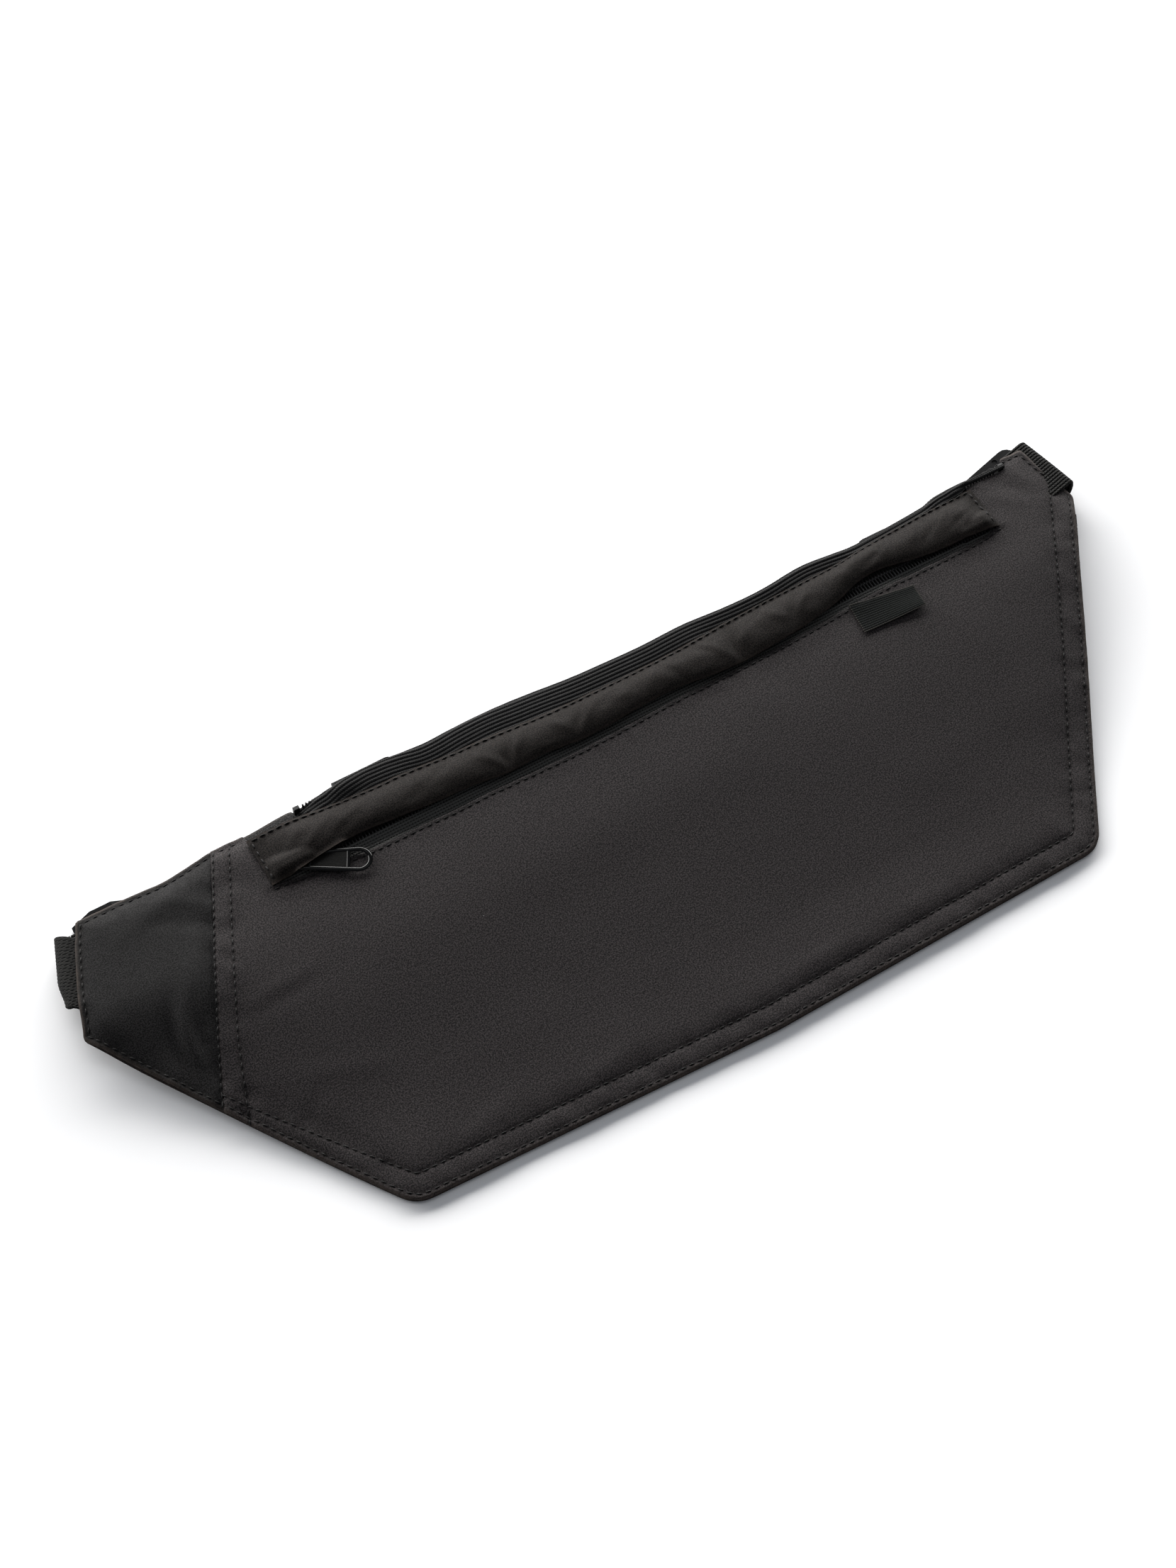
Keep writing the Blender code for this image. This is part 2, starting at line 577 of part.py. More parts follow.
def make_triglide(looks):
    """The adjuster: two outer bars under the main run and a middle bar that holds the strap's end."""
    frame = place(TRIGLIDE_X, STRAP_Y)
    half = TRIGLIDE_LENGTH / 2
    inner = WEB_HALF + GAP
    bar_low = RETURN_Z + WEB_THICK / 2 + GAP
    bar_high = bar_low + 1.2
    rails = []
    for sign in (-1, 1):
        y0, y1 = sorted((sign * inner, sign * (inner + TRIGLIDE_RAIL)))
        outline = ((-half, 0.0), (half, 0.0), (half, 1.6), (half * 0.35, bar_high + 0.5),
                   (-half * 0.35, bar_high + 0.5), (-half, 1.6))
        rails.append(prism(outline, y0, y1, axis="Y"))
    bars = [box(-half, -half + 3.0, -inner - 1, inner + 1, 0.0, 1.5),
            box(half - 3.0, half, -inner - 1, inner + 1, 0.0, 1.5),
            box(-1.8, 1.8, -inner - 1, inner + 1, bar_low, bar_high)]
    first, *rest = rails + bars
    obj = add("triglide", first, looks["hardware"], frame)
    combine(obj, tools_of(*rest, frame=frame), "UNION")

    top = bar_high + GAP + WEB_THICK / 2
    radius = (top - RETURN_Z) / 2
    path = [(LOOP_REACH, RETURN_Z)]
    path += [(-x, z) for x, z in arc(1.8, (top + RETURN_Z) / 2, radius, -90, 90, 6)]
    path += [(5.5, top)]
    add("strap_end_loop", ribbon(path, WEB_THICK, -WEB_HALF, WEB_HALF), looks["webbing"], frame)


# ---- buckle ---------------------------------------------------------------------------------
def make_plug(looks, plug_x):
    """The half on the strap: bar, base plate, middle prong and two sprung arms."""
    frame = place(plug_x, STRAP_Y - SIDESTEP)
    wide = BUCKLE_HALF_WIDTH
    base = rounded(((0, -wide, 4.0), (0, wide, 4.0), (PLUG_BASE, wide, 1.0), (PLUG_BASE, -wide, 1.0)))
    body = add("buckle_plug", prism(base, 0, BUCKLE_THICK), looks["hardware"], frame)
    slot = WEB_HALF + GAP + 0.2
    middle = BUCKLE_THICK / 2
    prong = rounded(((PLUG_BASE - 2, -2.2, 0), (PRONG_END, -2.2, 1.2),
                     (PRONG_END, 2.2, 1.2), (PLUG_BASE - 2, 2.2, 0)), 2)
    combine(body, tools_of(prism(prong, middle - 1.3, middle + 1.3), frame=frame), "UNION")
    combine(body, tools_of(
        box(BAR_WIDTH, SLOT_END, -slot, slot, -1, BUCKLE_THICK + 1),
        box(-1, BAR_WIDTH + 1, -slot, slot, -1, middle - BAR_THICK / 2),
        box(-1, BAR_WIDTH + 1, -slot, slot, middle + BAR_THICK / 2, BUCKLE_THICK + 1),
        frame=frame), "DIFFERENCE")

    root = (PLUG_BASE + GAP, 9.4)
    shape = ((0, 0.9), (7.0, 1.5), (10.5, 4.3), (16.5, 4.3), (19.0, 2.6), (22.6, 0.6), (22.6, -0.8),
             (17.0, 0.8), (12.0, 0.9), (7.0, -0.5), (0, -0.9))
    for side, sign in (("upper", 1), ("lower", -1)):
        outline = [(x, y * sign) for x, y in shape][::sign]
        at = place(plug_x + root[0], STRAP_Y - SIDESTEP + sign * root[1])
        arm = add(f"buckle_arm_{side}", prism(outline, middle - 1.6, middle + 1.6), looks["hardware"], at)
        soften(arm, 0.3, 1)


def make_socket(looks):
    """The half on the tab: bar, socket with side windows, mouth towards -X of its own frame."""
    frame = place(*TAB_FOLD_AT, 0, 180 + TAB_TILT) @ Matrix.Translation((1.0 * MM, 0, 0))
    wide = BUCKLE_HALF_WIDTH
    end = SOCKET_LENGTH
    outline = rounded(((0, -wide, 4.0), (0, wide, 4.0), (end, wide - 0.8, 1.5), (end, -wide + 0.8, 1.5)))
    body = add("buckle_socket", prism(outline, 0, BUCKLE_THICK), looks["hardware"], frame)
    slot = WEB_HALF + GAP + 0.2
    middle = BUCKLE_THICK / 2
    low, high = BUCKLE_WALL, BUCKLE_THICK - BUCKLE_WALL
    mouth = wide - 2.6
    mark = arc(8.8, -wide + 2.2, 1.1, 0, 330, 11)
    combine(body, tools_of(
        box(BAR_WIDTH, SLOT_END, -slot, slot, -1, BUCKLE_THICK + 1),
        box(-1, BAR_WIDTH + 1, -slot, slot, -1, middle - BAR_THICK / 2),
        box(-1, BAR_WIDTH + 1, -slot, slot, middle + BAR_THICK / 2, BUCKLE_THICK + 1),
        box(SOCKET_START, end + 1, -mouth, mouth, low, high),
        box(*WINDOW, -wide - 1, -mouth + 1, low, high),
        box(*WINDOW, mouth - 1, wide + 1, low, high),
        prism(mark, BUCKLE_THICK - 0.25, BUCKLE_THICK + 1),
        frame=frame), "DIFFERENCE")


def make_tab(looks):
    """Short webbing tab: sewn in at the pouch's end, folded back, wrapped round the socket's bar."""
    frame = place(*TAB_FOLD_AT, 0, TAB_TILT)
    half = (-WEB_HALF, WEB_HALF)
    anchor = ribbon([(-TAB_ANCHOR_LENGTH, STRAP_TOP_Z), (-GAP / 2, STRAP_TOP_Z)], WEB_THICK, *half)
    add("tab_anchor", anchor, looks["webbing"], frame)
    margin = math.degrees(GAP / 2 / TAB_FOLD_R)
    bend = arc(0, TAB_FOLD_Z, TAB_FOLD_R, 90 - margin, -90 + margin, FOLD_STEPS)
    add("tab_fold", ribbon(bend, WEB_THICK, *half), looks["webbing"], frame)
    low = BUCKLE_THICK / 2 - BAR_THICK / 2 - GAP - WEB_THICK / 2
    high = BUCKLE_THICK - low
    wrap = [(-x, z) for x, z in bar_wrap(1.0, 1.0 + BAR_WIDTH, low, high)]
    path = [(-GAP / 2, TAB_RUN_Z), (-1.0, low)] + wrap + [(0.0, high)]
    add("tab_webbing", ribbon(path, WEB_THICK, *half), looks["webbing"], frame)


# ---- build ----------------------------------------------------------------------------------
for old in list(bpy.data.objects):
    bpy.data.objects.remove(old)

LOOKS = {
    "shell": material("shell_fabric", (0.027, 0.025, 0.025), 0.62),
    "flap": material("flap_fabric", (0.034, 0.029, 0.028), 0.45),
    "backing": material("backing_fabric", (0.022, 0.022, 0.023), 0.75),
    "lining": material("lining_fabric", (0.05, 0.05, 0.052), 0.7),
    "webbing": material("webbing", (0.016, 0.016, 0.016), 0.7),
    "tape": material("zip_tape", (0.012, 0.012, 0.012), 0.75),
    "coil": material("zip_coil", (0.014, 0.014, 0.014), 0.4),
    "stop": material("zip_stop", (0.02, 0.02, 0.02), 0.45),
    "label": material("woven_label", (0.02, 0.022, 0.021), 0.7),
    "hardware": material("buckle_plastic", (0.05, 0.05, 0.052), 0.42),
    "pull": material("pull_enamel", (0.008, 0.008, 0.008), 0.14),
}

mouth_x = TAB_FOLD_AT[0] - (SOCKET_LENGTH + 1.0) * math.cos(math.radians(TAB_TILT))
mouth_x -= (BUCKLE_HALF_WIDTH - 0.8) * math.sin(math.radians(TAB_TILT))
PLUG_X = mouth_x - PLUG_GAP - PLUG_LENGTH

make_panels(LOOKS)
make_flap(LOOKS)
make_label(LOOKS)
make_front_zip(LOOKS)
make_top_zip(LOOKS)
make_strap(LOOKS, PLUG_X)
make_triglide(LOOKS)
make_plug(LOOKS, PLUG_X)
make_socket(LOOKS)
make_tab(LOOKS)
bpy.context.view_layer.update()
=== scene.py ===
import math

import bpy
import numpy as np
from mathutils import Matrix, Vector
from mathutils.geometry import delaunay_2d_cdt


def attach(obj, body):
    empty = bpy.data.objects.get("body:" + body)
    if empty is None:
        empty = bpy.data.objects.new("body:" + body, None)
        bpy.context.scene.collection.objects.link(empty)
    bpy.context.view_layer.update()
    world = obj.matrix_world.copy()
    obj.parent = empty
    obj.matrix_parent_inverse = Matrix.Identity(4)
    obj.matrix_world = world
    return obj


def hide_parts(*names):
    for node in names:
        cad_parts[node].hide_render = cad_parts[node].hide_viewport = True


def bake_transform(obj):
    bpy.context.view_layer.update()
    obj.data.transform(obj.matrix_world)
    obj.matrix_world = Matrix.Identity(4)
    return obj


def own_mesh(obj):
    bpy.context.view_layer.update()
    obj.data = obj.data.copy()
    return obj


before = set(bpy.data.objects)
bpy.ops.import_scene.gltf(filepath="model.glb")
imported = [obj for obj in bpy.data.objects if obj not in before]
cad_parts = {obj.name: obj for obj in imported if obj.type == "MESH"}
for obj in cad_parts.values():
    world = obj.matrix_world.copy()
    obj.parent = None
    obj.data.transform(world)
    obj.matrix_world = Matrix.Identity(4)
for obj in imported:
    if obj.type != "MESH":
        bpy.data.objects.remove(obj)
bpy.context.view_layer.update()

# Looks for a flat waist pouch that lies on its back with its strap folded behind it. Shapes are
# drawn in millimetres, in the drawing frame of the part: X along the belt, Y to the top zip, Z up.
MM = 0.001
MIDDLE = np.array((0.67, 0.44, 0.0))        # the row frame's origin, in the drawing frame
RNG = np.random.default_rng(11)

# ---- dimensions shared with the part ---------------------------------------------------------
WING_TOP, WING_TIP = (-188.0, 70.0), (-205.0, 28.5)
BOTTOM_LEFT, BOTTOM_MIDDLE, BOTTOM_RIGHT = (-137.5, -72.5), (-6.0, -78.3), (124.0, -75.5)
RIGHT_TIP, RIGHT_TOP = (201.7, 47.3), (194.5, 73.5)
SEAM_TOP, SEAM_BOTTOM = np.array((-137.5, 70.6)), np.array((-176.0, -16.0))
TOP_ZIP_LEFT, TOP_ZIP_RIGHT, TOP_ZIP_Y, TOP_CHAIN_Z = -106.5, 184.5, 70.2, 10.1
TOP_SLIDER_X = -87.0
VIEW_LEAN = 0.54                    # how far along Y a point seems to move for each millimetre of height
FRONT_ZIP_Y, CHAIN_Z = 51.5, 11.1
PANEL_TOP, PANEL_THICK = 4.2, 0.45
STRAP_FOLD_AT, STRAP_FOLD_R, STRAP_FOLD_Z = np.array((-196.4, 55.0)), 3.9, 6.25
TAB_FOLD_AT, TAB_FOLD_R, TAB_FOLD_Z = np.array((198.7, 63.9)), 4.45, 5.7
STRAP_LEAN, TAB_LEAN = math.radians(20.5), math.radians(14.0)
STRAP_Y, PLUG_X = 57.145, 120.28
WEB_HALF, WEB_THICK, RIB = 12.5, 1.1, 1.25
WRAP_LOW, WRAP_HIGH, WRAP_MIDDLE = 1.25, 5.15, 3.2     # webbing below and above a buckle's bar
RUN_Z, RETURN_Z, BAR_TOP_Z = 2.35, 3.75, 6.0
SIDESTEP, SIDESTEP_X = 3.0, (84.0, 104.0)              # the strap steps to -Y before the plug
SLIDER_STOPS = ((-126.5, -104.0), (147.0, 168.5))      # where the front slider's bail lifts the flap, in X
TEETH_APART = ((-123.0, -111.0), (152.5, 163.5))       # chain inside the front slider at its two stops
TOP_TEETH_APART = ((-104.5, -81.5), (156.5, 170.0))
STITCH_PITCH, STITCH_LENGTH, THREAD_R = 3.05, 2.15, 0.25


# ---- small maths -----------------------------------------------------------------------------
def smoothstep(t):
    t = np.clip(t, 0.0, 1.0)
    return t * t * (3 - 2 * t)


def curve(knots):
    """A smooth function through (x, y) knots: cubic Hermite with averaged slopes."""
    xs, ys = (np.array(k, float) for k in zip(*knots))
    steps = np.diff(ys) / np.diff(xs)
    slopes = np.concatenate(([steps[0]], (steps[:-1] + steps[1:]) / 2, [steps[-1]]))

    def at(x):
        x = np.clip(np.asarray(x, float), xs[0], xs[-1])
        i = np.clip(np.searchsorted(xs, x, "right") - 1, 0, len(xs) - 2)
        h = xs[i + 1] - xs[i]
        t = (x - xs[i]) / h
        a, b = ys[i], ys[i + 1]
        return (a * (1 + 2 * t) * (1 - t) ** 2 + slopes[i] * h * t * (1 - t) ** 2
                + b * t * t * (3 - 2 * t) + slopes[i + 1] * h * t * t * (t - 1))
    return at


LATTICE = RNG.uniform(-1, 1, (64, 64))


def ripple(x, y, size):
    """Smooth noise from -1 to 1 whose lumps are about that size."""
    u, v = np.asarray(x, float) / size + 200, np.asarray(y, float) / size + 200
    i, j = np.floor(u).astype(int), np.floor(v).astype(int)
    a, b = smoothstep(u - i), smoothstep(v - j)
    i, j = i % 63, j % 63
    low = LATTICE[i, j] * (1 - a) + LATTICE[i + 1, j] * a
    high = LATTICE[i, j + 1] * (1 - a) + LATTICE[i + 1, j + 1] * a
    return low * (1 - b) + high * b


def distance(points, line, closed=False):
    """Shortest distance from each (x, y) to a polyline."""
    line = np.asarray(line, float)
    ends = np.roll(line, -1, 0) if closed else line[1:]
    best = np.full(len(points), 1e9)
    for a, b in zip(line, ends):
        along = b - a
        size = along @ along
        if size < 1e-12:
            continue
        t = np.clip((points - a) @ along / size, 0, 1)
        best = np.minimum(best, np.hypot(*(points - a - t[:, None] * along).T))
    return best


def inside(points, loop):
    """Which (x, y) points lie in a closed loop."""
    hit = np.zeros(len(points), bool)
    x, y = points.T
    for (x0, y0), (x1, y1) in zip(loop, np.roll(loop, -1, 0)):
        crosses = (y0 > y) != (y1 > y)
        if y0 != y1:
            hit ^= crosses & (x < x0 + (y - y0) / (y1 - y0) * (x1 - x0))
    return hit


def spaced(line, step, closed=False):
    """A polyline's points, spread evenly."""
    line = np.asarray(line, float)
    if closed:
        line = np.vstack((line, line[:1]))
    reach = np.concatenate(([0], np.cumsum(np.hypot(*np.diff(line, axis=0).T))))
    count = max(int(round(reach[-1] / step)), 2)
    at = np.linspace(0, reach[-1], count + 1)
    out = np.stack([np.interp(at, reach, line[:, k]) for k in (0, 1)], 1)
    return out[:-1] if closed else out


def rounded(corners, steps=5):
    """An outline from (x, y, radius) corners."""
    out = []
    for i, (x, y, radius) in enumerate(corners):
        here = Vector((x, y))
        if radius <= 0:
            out.append((x, y))
            continue
        before = (Vector(corners[i - 1][:2]) - here).normalized()
        after = (Vector(corners[(i + 1) % len(corners)][:2]) - here).normalized()
        half = before.angle(after) / 2
        centre = here + (before + after).normalized() * radius / math.sin(half)
        start = here + before * radius / math.tan(half) - centre
        end = here + after * radius / math.tan(half) - centre
        turn = start.angle_signed(end)
        out += [tuple(centre + Matrix.Rotation(-turn * k / steps, 2) @ start) for k in range(steps + 1)]
    return np.array(out)


def clipped(loop, point, normal):
    """The part of a closed loop on the side that normal points to."""
    side = (loop - point) @ normal
    out = []
    for p, q, a, b in zip(loop, np.roll(loop, -1, 0), side, np.roll(side, -1)):
        if a >= 0:
            out.append(p)
        if (a >= 0) != (b >= 0):
            out.append(p + (q - p) * a / (a - b))
    return np.array(out)


def inset(line, reach):
    """An open polyline moved to its left."""
    line = np.asarray(line, float)
    along = np.gradient(line, axis=0)
    along /= np.hypot(*along.T)[:, None]
    return line + np.stack((-along[:, 1], along[:, 0]), 1) * reach


def inset_corners(corners, reach):
    """Corner points of a clockwise-from-the-left outline, moved inwards by mitres."""
    pts = np.array(corners, float)
    out = []
    for i in range(1, len(pts) - 1):
        a, b = pts[i] - pts[i - 1], pts[i + 1] - pts[i]
        a, b = a / np.hypot(*a), b / np.hypot(*b)
        na, nb = np.array((-a[1], a[0])), np.array((-b[1], b[0]))
        out.append(pts[i] + (na + nb) * reach / (1 + na @ nb))
    return out


# ---- the pouch's shape -----------------------------------------------------------------------
ALONG_SEAM = (SEAM_TOP - SEAM_BOTTOM) / np.hypot(*(SEAM_TOP - SEAM_BOTTOM))
ACROSS_SEAM = np.array((ALONG_SEAM[1], -ALONG_SEAM[0]))
ALONG_SLANT = np.subtract(BOTTOM_LEFT, WING_TIP) / np.hypot(*np.subtract(BOTTOM_LEFT, WING_TIP))
ACROSS_SLANT = np.array((-ALONG_SLANT[1], ALONG_SLANT[0]))
TOP_WAVE = curve(((-190, -1.4), (-172, -1.3), (-156, -2.0), (-143, -0.5), (-137, 0.2), (-124, 0.3),
                  (-108, 1.3), (-94, 0.2), (-86, 1.2), (-70, 0.7), (-56, 0.3), (-40, 1.1), (-20, 0.4), (0, -1.1),
                  (28, -1.8), (46, -1.4), (66, -1.3), (84, -1.0), (98, -1.2), (112, -2.2), (124, -2.3),
                  (137, -1.9), (153, -1.1), (165, -0.3), (174, 0), (186, 0)))
TAPE_EDGE = curve(((-107, 66.9), (-103, 68.7), (-98, 70.2), (-90, 71.8), (-82, 72.5), (-73, 72.4),
                   (-66, 71.9), (-57, 71.0), (-44, 71.5), (-33, 71.6), (-17, 70.6), (0, 69.0), (14, 68.4),
                   (28, 68.0), (46, 68.4),
                   (55, 67.8), (62, 67.3), (75, 67.1), (82, 67.5), (89, 68.3), (96, 68.7), (108, 67.6),
                   (115, 66.9), (124, 67.2), (137, 67.9), (148, 68.8), (157, 69.9), (165, 70.5), (174, 70.5),
                   (186, 70.3)))
FLAP_SEAM = curve(((-126, 66.4), (-114, 66.6), (-98, 65.2), (-81, 63.8), (-67, 63.6), (-50, 62.3),
                   (-33, 61.4), (-16, 60.2), (0, 60.0), (25, 60.1), (41, 60.5), (57, 61.6), (75, 62.5),
                   (91, 62.8), (106, 63.3), (119, 64.8), (136, 66.0), (152, 66.5), (167, 66.4)))
FLAP_EDGE = curve(((-126, 46.9), (-118, 46.9), (-107, 48.4), (-93, 49.6), (-78, 48.6), (-64, 47.4),
                   (-51, 46.8), (-38, 45.4), (-24, 45.6), (-9, 44.3), (2, 44.4), (17, 45.6), (32, 45.5),
                   (45, 44.0), (56, 43.6), (66, 44.0), (80, 45.2), (90, 46.6), (99, 48.6), (110, 52.0),
                   (119, 52.4), (131, 50.2), (142, 48.8), (154, 48.2), (163, 47.6), (167, 47.4)))
SLOT_EDGE = curve(((-126, 46.9), (-106, 44.2), (-91, 42.8), (-75, 42.6), (-60, 42.2), (-45, 42.3),
                   (-30, 41.8), (-15, 41.4), (0, 41.5), (12, 42.0), (30, 42.8), (49, 42.8), (67, 43.1),
                   (84, 43.8), (103, 45.2), (116, 45.9), (131, 45.6), (145, 45.7), (159, 46.1),
                   (167, 47.7)))


def sag(p):
    """How far the cloth hangs down along the wing's slanted edge, below its slope over the strap."""
    p = np.asarray(p, float)
    from_slant = np.clip((p[..., :2] - WING_TIP) @ ACROSS_SLANT, 0, None)
    share = 0.46 * np.exp(-(from_slant / 30.0) ** 2) * smoothstep((36.0 - p[..., 1]) / 30.0)
    return 8.0 * smoothstep((p[..., 1] + 62.0) / 98.0) * share


def drape(p):
    """Height of the back panel's outer face: the pouch lies over the strap near its top edge."""
    p = np.asarray(p, float)
    return 8.0 * smoothstep((p[..., 1] + 62.0) / 98.0) - sag(p)


def drift(p):
    """How far sewn cloth wanders from its cut shape, at (x, y) points."""
    x, y = p[:, 0], p[:, 1]
    dx = -1.6 * np.clip((y + 70) / 120, 0, 1) * smoothstep((x - 150) / 45) * smoothstep((74 - y) / 14)
    dx += 1.1 * np.exp(-((x + 205) / 9) ** 2) * smoothstep((46 - y) / 14)
    dy = TOP_WAVE(x) * smoothstep((y - 58.0) / 10.0) + VIEW_LEAN * sag(p)
    return np.column_stack((dx, dy))


def warped(points):
    out = np.array(points, float)
    out[:, :2] += drift(out)
    return out


def chain_y(x):
    """The top zip's chain: straight where its slider stops, and inside the tape's edge between them."""
    x = np.asarray(x, float)
    free = smoothstep((x + 82) / 14) * smoothstep((156 - x) / 10)
    tucked = TAPE_EDGE(x) - 0.75 + 0.3 * smoothstep((x - 96) / 10)
    return TOP_ZIP_Y + free * np.minimum(tucked - TOP_ZIP_Y, 0)


OUTLINE = rounded((
    (*WING_TOP, 1.0), (TOP_ZIP_LEFT, 70.3, 0), (TOP_ZIP_LEFT, 68.1, 0), (TOP_ZIP_RIGHT, 68.1, 0),
    (TOP_ZIP_RIGHT, 73.0, 0), (*RIGHT_TOP, 1.2), (*RIGHT_TIP, 3.5), (*BOTTOM_RIGHT, 11.0),
    (*BOTTOM_MIDDLE, 0), (*BOTTOM_LEFT, 11.0), (*WING_TIP, 1.5)))
SPREAD_OUTLINE = spaced(OUTLINE, 1.5, closed=True)
BORDER_CORNERS = (WING_TIP, BOTTOM_LEFT, BOTTOM_MIDDLE, BOTTOM_RIGHT, RIGHT_TIP)


def border_line(reach, radius):
    """A line along the left slant, the bottom and the right side, that far in from the edge."""
    first, last = np.array(WING_TIP), np.array(RIGHT_TIP)
    mids = inset_corners(BORDER_CORNERS, reach)
    starts = np.array(BORDER_CORNERS, float)
    a, b = starts[1] - starts[0], starts[-1] - starts[-2]
    first = first + np.array((-a[1], a[0])) / np.hypot(*a) * reach
    last = last + np.array((-b[1], b[0])) / np.hypot(*b) * reach
    corners = [(*first, 0), (*mids[0], radius), (*mids[1], 0), (*mids[2], radius), (*last, 0)]
    return rounded(corners)[:, :2]


BORDER = border_line(0.0, 11.0)
TOP_LINE = np.array(((-205.0, 28.5), (-188.0, 70.0), (194.5, 73.2), (201.7, 47.3)))
OUTER_STITCH = border_line(1.9, 9.1)
INNER_STITCH = border_line(8.7, 3.2)
END_STITCH = np.array(((-202.6, 29.0), (-187.0, 68.0), (-163.0, 68.2), (-139.0, 68.4)))
SEAM_STITCH = np.array(((-136.9, 69.6), (-154.0, 34.0), (-167.0, 4.9), (-175.6, -14.6)))
SECOND_STITCH = np.array(((-131.0, 69.3), (-144.9, 39.4), (-160.5, 4.0), (-170.6, -23.6)))
TOP_LEFT_STITCH = np.array(((-136.0, 68.4), (-127.5, 68.2)))
TOP_RIGHT_STITCH = rounded(((168.5, 69.0, 0), (176.0, 70.6, 0), (192.6, 71.6, 1.6), (199.2, 53.0, 0)))
INNER_STITCH = np.vstack((INNER_STITCH[1:], [(198.2, 55.4)]))
INNER_STITCH = np.vstack(([(-174.2, -9.8)], INNER_STITCH))
SLOT_STITCH = np.stack([(x, SLOT_EDGE(x) - 1.25) for x in np.linspace(-126.5, 168.0, 100)])
GROOVES = (OUTER_STITCH, INNER_STITCH, SEAM_STITCH, SECOND_STITCH, SLOT_STITCH, END_STITCH,
           TOP_LEFT_STITCH, TOP_RIGHT_STITCH)

# Creases: middle x and y, direction in degrees, half length, half width, height, bend.
WING_CREASES = (
    (-174.5, 11.0, 80, 13, 2.3, 1.35, 0.010), (-170.3, 10.0, 78, 13, 1.7, -0.8, 0.010),
    (-179.6, 11.0, 84, 12, 2.0, -0.85, 0.014), (-184.0, 2.0, 70, 10, 3.0, 0.35, 0.0),
    (-159.0, 25.0, 67, 20, 1.5, -0.75, 0.0), (-163.0, 27.0, 68, 18, 2.6, 0.5, 0.0),
    (-166.0, 58.0, 12, 13, 3.2, 0.35, 0.006), (-152.0, 55.0, -38, 10, 2.6, 0.4, 0.0),
    (-157.0, 49.0, -30, 11, 2.4, -0.3, 0.0), (-190.0, 45.0, 75, 18, 4.0, -0.25, 0.0))
FRONT_CREASES = (
    (-141.0, 9.0, 4, 14, 2.2, -0.35, 0.0), (-139.0, 13.0, 6, 12, 2.6, 0.3, 0.0),
    (-136.0, -22.0, -20, 16, 3.2, 0.3, 0.0), (-150.0, -28.0, 30, 9, 2.2, -0.25, 0.0),
    (-128.0, 57.0, -62, 9, 2.4, 0.35, 0.0), (-133.0, 52.0, -58, 12, 2.6, -0.3, 0.0),
    (188.0, 63.0, -60, 9, 2.4, 0.4, 0.0), (182.0, 60.0, -50, 10, 2.2, -0.3, 0.0),
    (176.0, 57.0, -35, 9, 2.4, 0.35, 0.0), (181.0, 14.0, -20, 9, 1.8, 0.35, 0.0),
    (178.0, 9.0, -22, 9, 1.8, -0.35, 0.0), (166.0, -14.0, -25, 8, 1.8, 0.3, 0.0),
    (190.0, 30.0, -20, 8, 1.8, -0.3, 0.0), (120.0, -20.0, 8, 38, 9.0, 0.3, 0.0),
    (-40.0, 10.0, 2, 60, 12.0, 0.35, 0.0), (40.0, -45.0, -4, 50, 9.0, -0.3, 0.0),
    (20.0, -63.5, 6, 12, 2.6, 0.45, 0.0), (62.0, -64.0, -8, 10, 2.2, 0.4, 0.0),
    (-62.0, -62.0, 10, 10, 2.2, 0.4, 0.0), (-104.0, -59.0, 16, 12, 2.6, 0.35, 0.0))


def creases(p, listed):
    total = np.zeros(len(p))
    for x, y, turn, length, width, height, bend in listed:
        c, s = math.cos(math.radians(turn)), math.sin(math.radians(turn))
        u = (p[:, 0] - x) * c + (p[:, 1] - y) * s
        v = -(p[:, 0] - x) * s + (p[:, 1] - y) * c + bend * u * u
        total += height * np.exp(-(u / length) ** 2 - (v / width) ** 2)
    return total


BAND = curve(((0, -2.3), (1.0, -1.95), (1.9, -2.0), (4.5, -1.6), (7.4, -1.5), (8.7, -1.5), (10.2, -1.15),
              (13.0, -0.7), (19, -0.25), (36, 0.2)))
RIM = curve(((0, -1.25), (1.0, -0.95), (2.0, -0.95), (5, -0.4), (9, -0.05), (14, 0)))


